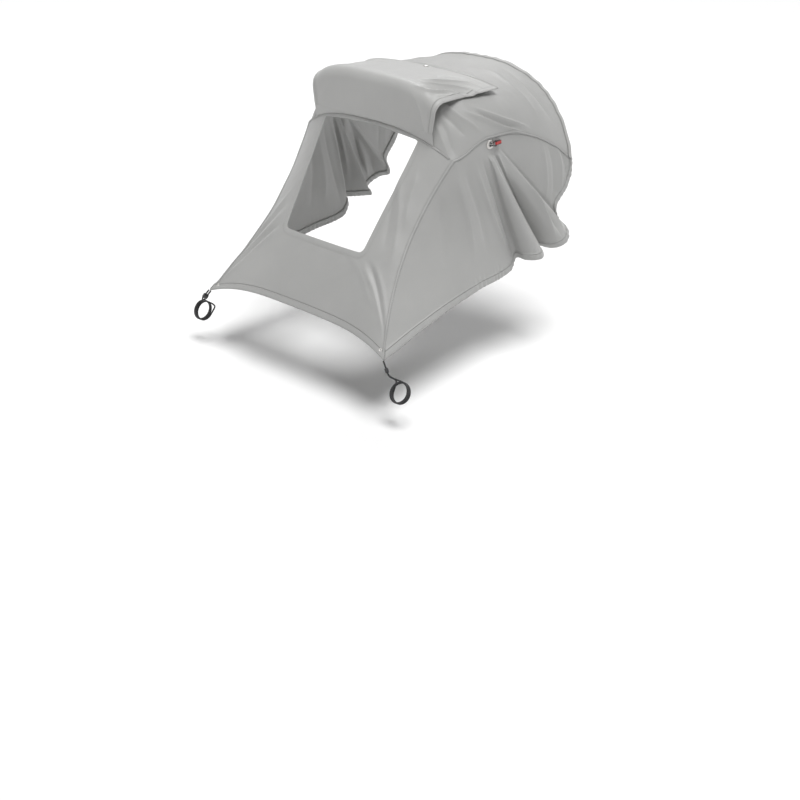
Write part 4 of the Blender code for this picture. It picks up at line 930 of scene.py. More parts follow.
def window_outline():
    """x and z of the window, seen from the front, closed, with round corners."""
    top, low = WINDOW_TOP_Z - WINDOW_ARCH, WINDOW_BOTTOM_Z
    points = []
    for side in (1, -1):
        turns = range(0, 91, 10) if side > 0 else range(90, -1, -10)
        for turn in turns:
            a = math.radians(turn)
            points.append((side * (WINDOW_BOTTOM_HALF - WINDOW_RADIUS * (1 - math.cos(a))),
                           low + WINDOW_RADIUS * (1 - math.sin(a))))
    points.reverse()
    points.append((WINDOW_TOP_HALF - 0.0010, top - TOP_CORNER))
    for share in np.linspace(1, -1, 41):
        inset = TOP_CORNER * max(abs(share) * 1.04 - 1, 0) * 8
        points.append((share * (WINDOW_TOP_HALF - 0.0012), top + WINDOW_ARCH * (1 - share**2) - inset))
    points.append((-WINDOW_TOP_HALF + 0.0010, top - TOP_CORNER))
    return np.array(points)


def onto_front(x, z):
    """The front panel's parameters at a place in front view, by Newton's method."""
    across, up = x / 0.17, (z + 0.3445) / 0.277  # a first guess
    for _ in range(12):
        p = front_surface(across, up)
        da = (front_surface(across + NUDGE, up) - p) / NUDGE
        du = (front_surface(across, up + NUDGE) - p) / NUDGE
        ex, ez = x - p[..., 0], z - p[..., 2]
        det = da[..., 0] * du[..., 2] - da[..., 2] * du[..., 0]
        across = across + (ex * du[..., 2] - ez * du[..., 0]) / det
        up = up + (ez * da[..., 0] - ex * da[..., 2]) / det
    return across, up


def evenly(points, step):
    """A closed line resampled at an even step."""
    loop = np.vstack([points, points[:1]])
    s = np.concatenate([[0], np.cumsum(np.linalg.norm(np.diff(loop, axis=0), axis=1))])
    t = np.linspace(0, s[-1], int(s[-1] / step) + 1)[:-1]
    return np.stack([np.interp(t, s, loop[:, k]) for k in range(loop.shape[1])], axis=1)


outline_xz = evenly(window_outline(), OUTLINE_STEP)
outline_params = onto_front(outline_xz[:, 0], outline_xz[:, 1])
OUTLINE = front_surface(*outline_params)
print("window:", len(OUTLINE), "rim points,", round(2000 * WINDOW_TOP_HALF), "mm wide at the top")

# %% How far each vertex lies from the window
def inside_outline(x, z):
    """Whether each place lies within the outline, by counting crossings."""
    a, b = outline_xz, np.roll(outline_xz, -1, axis=0)
    within = np.zeros(x.shape, bool)
    for (ax, az), (bx, bz) in zip(a, b):
        if az != bz:
            crosses = ((az > z) != (bz > z)) & (x < (bx - ax) * (z - az) / (bz - az) + ax)
            within ^= crosses
    return within


def window_gap(p):
    """Distance from the window's rim over the cloth, negative inside the window."""
    loop = np.vstack([OUTLINE, OUTLINE[:1]])
    gap = along_line(p.reshape(-1, 3), loop)[0].reshape(p.shape[:-1])
    return np.where(inside_outline(p[..., 0], p[..., 2]), -gap, gap)


# %% The front panel's grid
FRONT_LENGTH = 0.33
FRONT_HEM, SEAM_BAND, WINDOW_HEM = 0.0105, 0.0055, 0.0090
SEAM_RAISE = 0.0003


def ladder(width, fine, reach, middle):
    """Places across a strip, from 0 to 1: fine steps within reach of both edges and even ones between."""
    width = np.maximum(np.asarray(width, float), 1e-4)[..., None]
    head = np.arange(0, reach + 0.5 * fine, fine)
    low = np.minimum(head / width, 0.3 * head / reach)
    inner = np.linspace(0, 1, middle + 2)[1:-1]
    last = low[..., -1:]
    return np.concatenate([low, last + (1 - 2 * last) * inner, 1 - low[..., ::-1]], axis=-1)


def measured_rows(place, rows, fine, reach, middle):
    """For each row of a panel, places across it, spaced by distance over the cloth, and their distances from
    the nearer side edge."""
    dense = np.linspace(-1, 1, 801)
    line = place(dense[None], rows[:, None])
    run = np.concatenate([np.zeros((len(rows), 1)),
                          np.cumsum(np.linalg.norm(np.diff(line, axis=1), axis=2), axis=1)], axis=1)
    spots = ladder(run[:, -1], fine, reach, middle) * run[:, -1:]
    across = np.array([np.interp(spot, one, dense) for spot, one in zip(spots, run)])
    return across, np.minimum(spots, run[:, -1:] - spots)


def edge_speed(place, v):
    """How far a panel's side edge moves per unit of its first parameter."""
    one = np.ones_like(v)
    return np.linalg.norm(place(one, v) - place(0.99 * one, v), axis=-1) / 0.01


def raised(gap, width, height, soft=0.0008):
    """The swelling of cloth over a doubled hem or a seam allowance."""
    return height * smooth(0, soft, gap) * (1 - smooth(width - soft, width + soft, gap))


def front_layers():
    rows = ladder(np.array(FRONT_LENGTH), fine=0.0012, reach=0.0120, middle=130)
    across, seam_gap = measured_rows(front_surface, rows, fine=0.0011, reach=0.0077, middle=140)
    up = np.repeat(rows[:, None], across.shape[1], axis=1)
    rim_gap = window_gap(front_surface(across, up))
    gaps = {"seam_gap": seam_gap, "hem_gap": up * FRONT_LENGTH, "window_gap": rim_gap}
    lift = raised(seam_gap, SEAM_BAND, SEAM_RAISE) + raised(gaps["hem_gap"], FRONT_HEM, 0.0008)
    lift += raised(rim_gap, WINDOW_HEM, 0.0003, soft=0.0016) * (1 - smooth(0.94, 0.985, up))
    return laid(front_surface, across, up, lift), gaps


# %% Cut the window
RIM = settle(OUTLINE, SAIL_FOLDS)
RIM_REACH = 0.006


def nearest_on(points, line):
    """The nearest place on the line for each point."""
    best = np.full(len(points), np.inf)
    place = np.zeros_like(points)
    for a, b in zip(line[:-1], line[1:]):
        run = b - a
        q = np.clip(((points - a) @ run) / max(run @ run, 1e-12), 0, 1)
        spot = a + q[:, None] * run
        gap = np.linalg.norm(points - spot, axis=1)
        nearer = gap < best
        best = np.where(nearer, gap, best)
        place[nearer] = spot[nearer]
    return place


def cut_window(bm):
    layer = bm.verts.layers.float["window_gap"]
    inner = [f for f in bm.faces if sum(v[layer] < 0 for v in f.verts) >= 3]
    bmesh.ops.delete(bm, geom=inner, context="FACES")
    rim = [v for v in bm.verts if v.is_boundary and abs(v[layer]) < RIM_REACH]
    places = nearest_on(np.array([v.co[:] for v in rim]), np.vstack([RIM, RIM[:1]]))
    for vert, place in zip(rim, places):
        vert.co = place
        vert[layer] = 0.0
    near = [v for v in bm.verts if not v.is_boundary and 0 < v[layer] < RIM_REACH]
    for _ in range(3):
        bmesh.ops.smooth_vert(bm, verts=near, factor=0.5, use_axis_x=True, use_axis_y=True, use_axis_z=True)


points, gaps = front_layers()
front = lay_sheet("front_cloth", points, gaps, hole=cut_window)
finish_piece(thicken(front), SAIL, "grey_cloth", "sail", "front_panel")
print("front panel:", len(front.data.vertices), "vertices")

# %% [markdown]
# ## The hems of the front panel
# Along the window and between the ties the cloth is folded under and sewn down. The fold is a strip of its
# own on the inside. Its first lane touches the panel at the seam and its last one climbs back to the
# panel's edge, so the edge reads as turned cloth and not as a cut.

# %% Turned hems
HEM_DEPTH = 0.0010


def turned_lanes(width, depth, count=6):
    """Distance from the edge and lift for each lane of a hem that is folded under and sewn down."""
    flat = [(d, -depth) for d in np.linspace(width, 0.0009, count)]
    rim = [(0.0004, -0.93 * depth), (0.0001, -0.7 * depth), (0.0, -0.4 * depth), (0.0, -0.0001)]
    return np.array([(width + 0.0008, -0.0003)] + flat + rim)


def strip(name, at, lanes, shares, folds=SAIL_FOLDS, side=1):
    """A narrow piece along an edge, whose distances from it and heights are the lanes. at gives the panel's
    place for a distance from the edge and a share along it."""
    D, S = np.meshgrid(lanes[:, 0], shares, indexing="ij")
    points = laid(at, D, S, lanes[:, 1:], folds, side)
    return lay_sheet(name, points, {"band_gap": D}), points


def front_edge(distance, share):
    return front_surface(0.995 * (2 * share - 1), distance / FRONT_LENGTH)


FRONT_RUN = np.linspace(0, 1, 160)
hem, hem_points = strip("front_hem_fold", front_edge, turned_lanes(FRONT_HEM, HEM_DEPTH), FRONT_RUN)
finish_piece(thicken(hem, TURNED_WEB, 0), BAND, "grey_tape", "sail", "front_hem")


def window_ring(lanes):
    """Rows of places round the window, one row for each lane."""
    run = np.roll(outline_xz, -1, axis=0) - np.roll(outline_xz, 1, axis=0)
    out = np.stack([run[:, 1], -run[:, 0]], axis=1) / np.linalg.norm(run, axis=1)[:, None]
    if inside_outline(*(outline_xz + 0.001 * out).T).mean() > 0.5:
        out = -out
    room = 0.7 * (0.985 - outline_params[1]) * FRONT_LENGTH
    width = np.clip(room / WINDOW_HEM, 0.12, 1.0)
    width = np.convolve(np.concatenate([width[-8:], width, width[:8]]), np.ones(17) / 17, mode="valid")
    a0, u0 = outline_params
    here = front_surface(a0, u0)
    da = (front_surface(a0 + NUDGE, u0) - here)[:, ::2] / NUDGE
    du = (front_surface(a0, u0 + NUDGE) - here)[:, ::2] / NUDGE
    det = da[:, 0] * du[:, 1] - da[:, 1] * du[:, 0]
    step = width[:, None] * out
    across = a0 + lanes[:, :1] * (step[:, 0] * du[:, 1] - step[:, 1] * du[:, 0]) / det
    up = u0 + lanes[:, :1] * (step[:, 1] * da[:, 0] - step[:, 0] * da[:, 1]) / det
    return np.concatenate([across, across[:, :1]], axis=1), np.concatenate([up, up[:, :1]], axis=1)


lanes = turned_lanes(WINDOW_HEM, HEM_DEPTH)
across, up = window_ring(lanes)
ring = laid(front_surface, across, up, lanes[:, 1:])
ring_gaps = {"band_gap": np.repeat(lanes[:, :1], across.shape[1], axis=1)}
window_fold = lay_sheet("window_hem_fold", ring, ring_gaps, merge=MERGE)
finish_piece(thicken(window_fold, TURNED_WEB, 0), BAND, "grey_tape", "sail", "window_hem")

# %% [markdown]
# ## The crown
# It lies over the hood's front bow and runs back to the rear hem, where an elastic in a tunnel draws it in.
# The flap hides most of it, but its rear and its right shoulder show.

# %% The crown and its rear tunnel
CROWN_LENGTH, REAR_HEM = 0.36, 0.011
CROWN_ROW = (HOOD_LENGTH - SEAM_TOP_Y - BOW_DEPTH) / (1 - BOW_ROWS)


def crown_layers():
    rows = ladder(np.array(CROWN_LENGTH), fine=0.0012, reach=0.0144, middle=140)
    across, seam_gap = measured_rows(crown_surface, rows, fine=0.0011, reach=0.0077, middle=170)
    back = np.repeat(rows[:, None], across.shape[1], axis=1)
    gaps = {"seam_gap": seam_gap, "hem_gap": (1 - back) * CROWN_ROW}
    lift = raised(seam_gap, SEAM_BAND, SEAM_RAISE) + raised(gaps["hem_gap"], REAR_HEM, 0.0022, soft=0.0015)
    return laid(crown_surface, across, back, lift), gaps


def rear_edge(distance, share):
    return crown_surface(0.995 * (2 * share - 1), 1 - distance / CROWN_ROW)


points, gaps = crown_layers()
crown = lay_sheet("crown_cloth", points, gaps)
finish_piece(thicken(crown), SAIL, "grey_cloth", "sail", "crown_panel")
TUNNEL_DEPTH, ELASTIC_WEB = 0.0024, 0.0008
REAR_RUN = np.linspace(0, 1, 200)
rear, rear_points = strip("rear_hem_tunnel", rear_edge, turned_lanes(REAR_HEM, TUNNEL_DEPTH), REAR_RUN)
finish_piece(thicken(rear, TURNED_WEB, 0), BAND, "grey_cloth", "sail", "rear_hem")

ELASTIC_LANES = np.array([(0.0020 + d, -0.0009) for d in np.linspace(0, 0.007, 6)])
rear_band, _ = strip("rear_elastic_band", rear_edge, ELASTIC_LANES, REAR_RUN)
finish_piece(thicken(rear_band, ELASTIC_WEB), ELASTIC, "white_elastic", "sail", "rear_elastic")

# %% [markdown]
# ## The side panels
# Each is one piece from the front corner to the rear. Its lower edge has a tunnel with elastic, which
# throws the extra width into two deep folds under the eyelet. The left panel is the right one's mirror
# image, but its small folds differ, because no two sides hang alike.

# %% Side panels with their tunnels
SIDE_HEM = 0.012


def side_columns():
    return np.concatenate([np.linspace(0, FRONT_SHARE, 100, endpoint=False),
                           np.linspace(FRONT_SHARE, FRONT_SHARE + FOLD_SHARE, 130, endpoint=False),
                           np.linspace(FRONT_SHARE + FOLD_SHARE, 1, 50)])


def side_layers(side):
    u = side_columns()
    span = side_span(u)
    up = ladder(span, fine=0.0014, reach=0.0154, middle=62).T
    u = np.repeat(u[None], up.shape[0], axis=0)
    gaps = {"hem_gap": up * span, "seam_gap": (1 - up) * span}
    lift = raised(gaps["hem_gap"], SIDE_HEM, 0.0019, soft=0.0020)
    base, out = on_side(side_place(u, up), side), on_side(facing(side_surface, u, up), side)
    return settle(base, SAIL_FOLDS) + out * lift[..., None], gaps


def side_edge(distance, share):
    return side_place(share, distance / side_span(share))


SIDE_RUN = np.linspace(0.012, 0.988, 330)
for name, side in SIDES:
    points, gaps = side_layers(side)
    cloth = lay_sheet(f"side_cloth_{name}", points, gaps, merge=MERGE)
    finish_piece(thicken(cloth), SAIL, "grey_cloth", "sail", f"side_panel_{name}")
    tunnel, tunnel_points = strip(f"side_hem_tunnel_{name}", side_edge, turned_lanes(SIDE_HEM, TUNNEL_DEPTH),
                                  SIDE_RUN, side=side)
    finish_piece(thicken(tunnel, TURNED_WEB, 0), BAND, "grey_cloth", "sail", f"side_hem_{name}")
    band, _ = strip(f"side_elastic_band_{name}", side_edge, ELASTIC_LANES + (0.0005, 0), SIDE_RUN, side=side)
    finish_piece(thicken(band, ELASTIC_WEB), ELASTIC, "white_elastic", "sail", f"side_elastic_{name}")

# %% [markdown]
# ## The seams
# Each long seam is felled: the side panel's edge is turned over the front panel's and sewn flat with two
# rows of stitches. That shows as a narrow band with a sharp outer edge, from the front corner over the
# hood's bow to the rear.

# %% Felled seams
SEAM_LANES = np.array([(0.0, 0.0001), (0.0, 0.0006), (0.0003, 0.0010), (0.0012, 0.0011), (0.0030, 0.0010),
                       (0.0046, 0.0010), (0.0052, 0.0008), (0.0055, 0.0004)])


def felled(distance, share):
    """The band along the side seam, on the front panel up to the bow and on the crown behind it."""
    low = np.clip(share / BOW_SHARE, 0, 1)
    high = np.interp((share - BOW_SHARE) / (1 - BOW_SHARE), (0, BOW_REACH, 1), (0, BOW_ROWS, 1))
    fore = front_surface(1 - distance / edge_speed(front_surface, low), low)
    aft = crown_surface(1 - distance / edge_speed(crown_surface, high), high)
    return np.where((share < BOW_SHARE)[..., None], fore, aft)


def over_window(distance, share):
    return front_surface(0.955 * (2 * share - 1), 1 - distance / FRONT_LENGTH)


for name, side in SIDES:
    seam, _ = strip(f"side_seam_band_{name}", felled, SEAM_LANES, np.linspace(0.012, 0.996, 420), side=side)
    finish_piece(thicken(seam, FINE_WEB, 0), BAND, "grey_tape", "sail", f"side_seam_{name}")
arched, _ = strip("crown_seam_band", over_window, SEAM_LANES * (0.55, 0.8), FRONT_RUN)
finish_piece(thicken(arched, FINE_WEB, 0), BAND, "grey_tape", "sail", "crown_seam")

# %% Patches behind the front corners
def corner_area(distance, share):
    return front_surface(1 - (0.004 + distance) / FRONT_CORNER[0], 0.0045 + 0.060 * share)


PATCH_LANES = np.array([(d, -0.0010) for d in np.linspace(0, 0.018, 12)])
PATCH_RUN = np.linspace(0, 1, 14)
for name, side in SIDES:
    patch, patch_points = strip(f"corner_backing_{name}", corner_area, PATCH_LANES, PATCH_RUN, side=side)
    finish_piece(thicken(patch, TURNED_WEB), TAPE, "grey_tape", "sail", f"corner_patch_{name}")

# %% [markdown]
# ## The flap
# One cloth, sewn in over the window, stands up in front of the hood's bow and lies back over the crown. It
# bends between the two moving bodies of the solid model. It has a doubled, twice sewn hem on three sides.

# %% The flap's cloth
FLAP_HEM, FLAP_EDGE_HEM, FLAP_HEM_DEPTH = 0.0085, 0.0072, 0.0009
FLAP_START = 0.012
STEPS = np.linspace(FLAP_START, 3, 600)


def flap_rows(across_at, count):
    """Rows along the flap that are evenly spaced over its cloth, finer towards its free edge."""
    line = flap_surface(np.full_like(STEPS, across_at), STEPS)
    run = np.concatenate([[0], np.cumsum(np.linalg.norm(np.diff(line, axis=0), axis=1))])
    places = ladder(np.array(run[-1]), fine=0.0012, reach=0.0096, middle=count) * run[-1]
    return np.interp(places, run, STEPS), run[-1] - places


def flap_half(along):
    """Half the flap's width."""
    return FLAP_ROOT_HALF + (FLAP_EDGE_HALF - FLAP_ROOT_HALF) * along / 3


def flap_layers():
    along, edge_gap = flap_rows(across_at=0.4, count=140)
    half = flap_half(along)
    across = 2 * ladder(2 * half, fine=0.0012, reach=0.0108, middle=150) - 1
    along = np.repeat(along[:, None], across.shape[1], axis=1)
    side_gap = (1 - np.abs(across)) * half[:, None]
    edge = np.repeat(edge_gap[:, None], across.shape[1], axis=1)
    gap = np.minimum(side_gap, edge + FLAP_HEM - FLAP_EDGE_HEM)
    points = laid(flap_surface, across, along, raised(gap, FLAP_HEM, 0.0010), FLAP_FOLDS)
    # the second distance places the painted shadow along the flap's free edge
    return points, {"hem_gap": gap, "shadow_edge_gap": edge + SHADOW_EDGE_MARK}


FOLD_SPOT = flap_surface(np.zeros(1), np.array([1.35]))[0]
FOLD_WAY = np.array([0.0, 0.981, 0.193])
BEND_FROM, BEND_TO = FOLD_SPOT - 0.0045 * FOLD_WAY, FOLD_SPOT + 0.0065 * FOLD_WAY


def bend_flap(obj):
    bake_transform(obj, "flap_lower", "flap_upper", tuple(BEND_FROM), tuple(BEND_TO))


points, gaps = flap_layers()
flap = lay_sheet("flap_cloth", points, gaps)
finish_piece(thicken(flap), LIT_FLAP_CLOTH, "flap_cloth", None, "flap_front", "flap_back")
bend_flap(flap)


# %% The flap's hems and its root
def flap_side(distance, share):
    along = FLAP_START + (3 - FLAP_START) * share
    return flap_surface(1 - distance / flap_half(along), along)


def flap_end(distance, share):
    reach = FLAP_EDGE_Y - FLAP_RIDGE_Y - FLAP_ROUNDING
    return flap_surface(0.93 * (2 * share - 1), 3 - distance / reach)


FLAP_RUN = np.linspace(0, 1, 150)
for name, side in SIDES:
    fold, _ = strip(f"flap_side_fold_{name}", flap_side, turned_lanes(FLAP_HEM, FLAP_HEM_DEPTH), FLAP_RUN,
                    FLAP_FOLDS, side)
    finish_piece(thicken(fold, FINE_WEB, 0), LIT_FLAP_CLOTH, "flap_cloth", None, f"flap_front_hem_{name}",
                 f"flap_back_hem_{name}")
    bend_flap(fold)
end_fold, _ = strip("flap_end_fold", flap_end, turned_lanes(FLAP_EDGE_HEM, FLAP_HEM_DEPTH), FLAP_RUN,
                    FLAP_FOLDS)
finish_piece(thicken(end_fold, FINE_WEB, 0), LIT_FLAP_CLOTH, "flap_cloth", "flap_upper", "flap_edge_hem")


def root_layers():
    share, level = np.meshgrid(np.linspace(-1, 1, 120), np.linspace(0, 1, 12))
    seam = flap_seam(share * FLAP_ROOT_HALF / HOOD_HALF_FRONT) + vectors(0, -0.0012, 0.0004)
    top = flap_surface(share, np.full_like(share, FLAP_START))
    return seam + (top - seam) * level[..., None]


root_base = root_layers()
root_points = settle(root_base, FLAP_FOLDS)
root = lay_sheet("flap_root_cloth", root_points, {"band_gap": root_base[..., 2] + 1})
finish_piece(thicken(root, WEB, 0), LIT_FLAP_CLOTH, "flap_cloth", None, "flap_root")
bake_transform(root, "sail", "flap_lower", (0, -0.021, -0.0672), (0, -0.021, -0.0648))

# %% [markdown]
# ## Metal parts
# The eyelets and the press stud are thin pressed metal, nickel plated. They are turned shapes: a section
# spun round its axis. Their rims are rolled, which catches the light as a bright ring.

# %% Metal
def metal_material():
    mat, nodes, links, shader = new_material("nickel")
    wear = noise(nodes, links, 420.0, 5.0)
    rough = add(nodes, "ShaderNodeMapRange")
    rough.inputs["To Min"].default_value, rough.inputs["To Max"].default_value = 0.16, 0.36
    links.new(wear, rough.inputs["Value"])
    links.new(rough.outputs["Result"], shader.inputs["Roughness"])
    tint = two_tones(nodes, links, wear, (0.44, 0.43, 0.41), (0.62, 0.61, 0.59))
    links.new(tint, shader.inputs["Base Color"])
    shader.inputs["Metallic"].default_value = 1.0
    return mat


NICKEL = metal_material()


def frame_at(centre, normal, along):
    """The matrix that puts Z on the normal and X near the along direction."""
    z = Vector(normal).normalized()
    x = (Vector(along) - Vector(along).dot(z) * z).normalized()
    turn = Matrix((x, z.cross(x), z)).transposed().to_4x4()
    return Matrix.Translation(Vector(centre)) @ turn


def turned(name, section, place):
    """A turned piece: a closed section of (radius, height) points spun round Z and put in its place."""
    bm = bmesh.new()
    verts = [bm.verts.new((r, 0, z)) for r, z in section]
    edges = [bm.edges.new((a, b)) for a, b in zip(verts, verts[1:] + verts[:1])]
    bmesh.ops.spin(bm, geom=verts + edges, cent=(0, 0, 0), axis=(0, 0, 1), angle=2 * math.pi, steps=48,
                   use_merge=True)
    bmesh.ops.remove_doubles(bm, verts=bm.verts[:], dist=1e-6)
    bmesh.ops.recalc_face_normals(bm, faces=bm.faces[:])
    bmesh.ops.transform(bm, matrix=place, verts=bm.verts[:])
    return to_object(name, bm)


def roll(centre_r, centre_z, radius, start, end, steps=8):
    """Points of a rolled rim in a section, between two angles in degrees."""
    turns = np.radians(np.linspace(start, end, steps))
    return [(centre_r + radius * math.cos(a), centre_z + radius * math.sin(a)) for a in turns]


# %% Eyelets
def rolled_eyelet(rim, bore, barrel, lip, depth):
    """The section of an eyelet's face: a rolled rim, a domed flange and a barrel with its own round mouth."""
    top = 0.0003
    section = roll(rim - 0.45 * lip, top + 0.45 * lip, 0.45 * lip, -90, 100)
    section += [(0.5 * (rim + bore), top + 1.6 * lip)]
    section += roll(bore + 0.8 * lip, top + 0.4 * lip, 0.8 * lip, 80, 180)
    return section + [(bore, -depth), (barrel, -depth), (barrel, top)]


CORNER_INSET, SEAM_LENGTH = 0.0105, 0.36


def corner_frame():
    """Centre and normal of the right corner eyelet."""
    across, up = 1 - CORNER_INSET / FRONT_CORNER[0], CORNER_INSET / SEAM_LENGTH
    spots = [front_surface(np.array(across + da), np.array(up + db))
             for da, db in ((0, 0), (0.02, 0), (0, 0.02))]
    normal = np.cross(spots[1] - spots[0], spots[2] - spots[0])
    return spots[0], normal / np.linalg.norm(normal)


def eyelet_place(side):
    return frame_at(on_side(EYELET_CENTRE, side), on_side(EYELET_NORMAL, side), on_side(EYELET_ALONG, side))


LARGE_SECTION = rolled_eyelet(EYELET_RADIUS, EYELET_BORE, barrel=0.0042, lip=0.0007, depth=0.0020)
SMALL_SECTION = rolled_eyelet(rim=0.0030, bore=0.0012, barrel=0.0018, lip=0.0005, depth=0.0028)
CORNER_CENTRE, CORNER_NORMAL = corner_frame()
for name, side in SIDES:
    eyelet = turned(f"rolled_eyelet_{name}", LARGE_SECTION, eyelet_place(side))
    finish_piece(eyelet, NICKEL, "nickel_plate", "sail", f"eyelet_{name}")
    corner_place = frame_at(on_side(CORNER_CENTRE, side), on_side(CORNER_NORMAL, side), (1, 0, 0))
    small = turned(f"small_eyelet_{name}", SMALL_SECTION, corner_place)
    finish_piece(small, NICKEL, "nickel_plate", "sail", f"corner_eyelet_{name}")

# %% The press stud's cap
def cap_frame():
    line = flap_surface(np.zeros_like(STEPS), STEPS)
    i = int(np.argmin(np.abs(line[:, 1] - STUD_Y) + (STEPS < 2)))
    run = line[i] - line[i - 5]
    return line[i], np.array([0.0, -run[2], run[1]])


CAP_RADIUS, CAP_HEIGHT, CAP_LIFT, CAP_LIP, CAP_STEM = 0.0048, 0.0012, 0.0006, 0.0003, 0.0013
cap_centre, cap_normal = cap_frame()
dome = [(CAP_RADIUS * math.sin(a), CAP_LIFT + CAP_HEIGHT * (math.cos(a) - 0.05))
        for a in np.linspace(0, 1.45, 12)]
dome += roll(CAP_RADIUS - CAP_LIP, CAP_LIFT, CAP_LIP, 30, -90)
dome += [(CAP_STEM, CAP_LIP), (CAP_STEM, -CAP_STEM), (0.0, -CAP_STEM)]
cap = turned("domed_stud_cap", dome, frame_at(cap_centre, cap_normal, (1, 0, 0)))
finish_piece(cap, NICKEL, "nickel_plate", "flap_upper", "stud_cap")

for node in ("eyelet_washer_left", "eyelet_washer_right", "stud_head", "stud_post", "stud_socket"):
    repaint(node, NICKEL)

# %% [markdown]
# ## Cord, loop and slider
# The cord is a round braid over rubber. Its braid is two sets of threads that cross along its length, drawn
# as waves in the cord's UV map, which has turns round the cord in one direction and metres along it in the
# other; its grooves are darker, as painted shade. The loop in the eyelet is the same braid, thinner, and
# holds its shape.

# %% Braided cord and moulded plastic
BRAID_STARTS, BRAID_PITCH = 4, 0.0024


def braid_material():
    mat, nodes, links, shader = new_material("black_braid")
    uv = add(nodes, "ShaderNodeTexCoord").outputs["UV"]
    parts = []
    for slant in (1.0, -1.0):
        turn = add(nodes, "ShaderNodeMapping")
        turn.inputs["Scale"].default_value = (DIAGONAL_PERIOD * BRAID_STARTS * slant,
                                              DIAGONAL_PERIOD / BRAID_PITCH, 1.0)
        links.new(uv, turn.inputs["Vector"])
        wave = add(nodes, "ShaderNodeTexWave", wave_type="BANDS", bands_direction="DIAGONAL")
        wave.inputs["Scale"].default_value = 1.0
        links.new(turn.outputs["Vector"], wave.inputs["Vector"])
        parts.append(wave.outputs["Fac"])
    height = maths(nodes, links, "MAXIMUM", parts[0], parts[1])
    # the braid's colour is darker in its grooves: painted shade
    colour = two_tones(nodes, links, height, (0.008, 0.008, 0.009), (0.030, 0.030, 0.032))
    links.new(colour, shader.inputs["Base Color"])
    emboss(nodes, links, shader, height, 0.00025)
    shader.inputs["Roughness"].default_value = 0.62
    return mat


def plastic_material():
    mat, nodes, links, shader = new_material("moulded_black")
    grain = noise(nodes, links, 1800.0)
    emboss(nodes, links, shader, grain, 0.0001, 0.35)
    shade = two_tones(nodes, links, grain, (0.012, 0.012, 0.013), (0.022, 0.022, 0.023))
    links.new(shade, shader.inputs["Base Color"])
    shader.inputs["Roughness"].default_value = 0.42
    return mat


BRAID, PLASTIC = braid_material(), plastic_material()
for name, tie in ties.items():
    tie.data.materials.append(BRAID)
    repaint(f"tie_slider_{name}", PLASTIC)

# %% The pull loop and its tab
LOOP_RADIUS, LOOP_HALF, LOOP_WIDE = 0.0008, 0.0023, 0.0046
LOOP_REACH, LOOP_LIFT, LOOP_TAIL = 0.0100, 0.0040, 0.0050


def loop_line():
    leg = [(0, LOOP_HALF, -LOOP_TAIL), (0, LOOP_HALF, -0.0015), (0.0002, LOOP_HALF, 0.0008),
           (0.0012, LOOP_HALF, 0.0026), (0.0030, LOOP_HALF, LOOP_LIFT),
           (LOOP_REACH - 0.0008, LOOP_WIDE, LOOP_LIFT), (LOOP_REACH, LOOP_WIDE - 0.0007, LOOP_LIFT)]
    points = np.array(leg + [(x, -y, z) for x, y, z in reversed(leg)])
    return spline(points)(np.linspace(0, 1, 64))


TAB_LENGTH, TAB_WIDTH, TAB_CLOTH = 0.0100, 0.0066, 0.0006
TAB_ACROSS = np.linspace(-1, 1, 13)
SELVAGE, SELVAGE_END = 0.0009, 0.0011


def tab_section():
    """The ribbon's middle line in the loop's frame: doubled round the loop's end, flat behind it."""
    inner = LOOP_RADIUS + 0.0003 + 0.5 * TAB_CLOTH
    turn = [(-inner * math.sin(a), inner * math.cos(a)) for a in np.linspace(0, math.pi, 13)]
    top = [(x, inner) for x in np.linspace(TAB_LENGTH, 0.0008, 10)]
    return np.array(top + turn + [(x, -z) for x, z in reversed(top)])


def tab_points(place):
    section = tab_section()
    X, Y = np.meshgrid(section[:, 0], 0.5 * TAB_WIDTH * TAB_ACROSS, indexing="ij")
    Z = np.repeat(section[:, 1][:, None], len(TAB_ACROSS), axis=1)
    flat = np.stack([X + LOOP_REACH, Y, Z + LOOP_LIFT, np.ones_like(X)], axis=-1)
    return (flat @ np.array(place).T)[..., :3]


def ribbon_material():
    """Red ribbon with a black selvage on both sides, ribbed across."""
    mat, nodes, links, shader = new_material("red_woven_ribbon")
    gap = add(nodes, "ShaderNodeAttribute", attribute_name="border").outputs["Fac"]
    edge = add(nodes, "ShaderNodeMapRange", interpolation_type="SMOOTHSTEP")
    edge.inputs["From Min"].default_value, edge.inputs["From Max"].default_value = SELVAGE, SELVAGE_END
    links.new(gap, edge.inputs["Value"])
    colour = two_tones(nodes, links, edge.outputs["Result"], (0.012, 0.011, 0.011), (0.52, 0.022, 0.020))
    links.new(colour, shader.inputs["Base Color"])
    emboss(nodes, links, shader, weave_height(nodes, links, 0.0005), 0.0002)
    shader.inputs["Roughness"].default_value = 0.6
    shader.inputs["Sheen Weight"].default_value = 0.2
    return mat


RIBBON = ribbon_material()
for name, side in SIDES:
    place = eyelet_place(side)
    line = np.array([place @ Vector(p) for p in loop_line()])
    loop = cord_curve(f"braided_loop_{name}", line, LOOP_RADIUS)
    finish_piece(loop, BRAID, "black_cord", "sail", f"pull_loop_{name}")
    points = tab_points(place)
    away = 0.5 * TAB_WIDTH * (1 - np.abs(TAB_ACROSS))
    tab = lay_sheet(f"ribbon_tab_{name}", points, {"border": np.repeat(away[None], len(points), axis=0)})
    thicken(tab, TAB_CLOTH, 0.0001)
    tab.modifiers["Cloth thickness"].offset = 0
    finish_piece(tab, RIBBON, "red_ribbon", f"tab_{name}", f"pull_tab_{name}")

# %% [markdown]
# ## Thread
# The stitches are real: each is a small thread of its own that lies on the cloth, about three to the
# centimetre. There are rows beside every seam and on every hem. They carry the smallest scale of the piece.

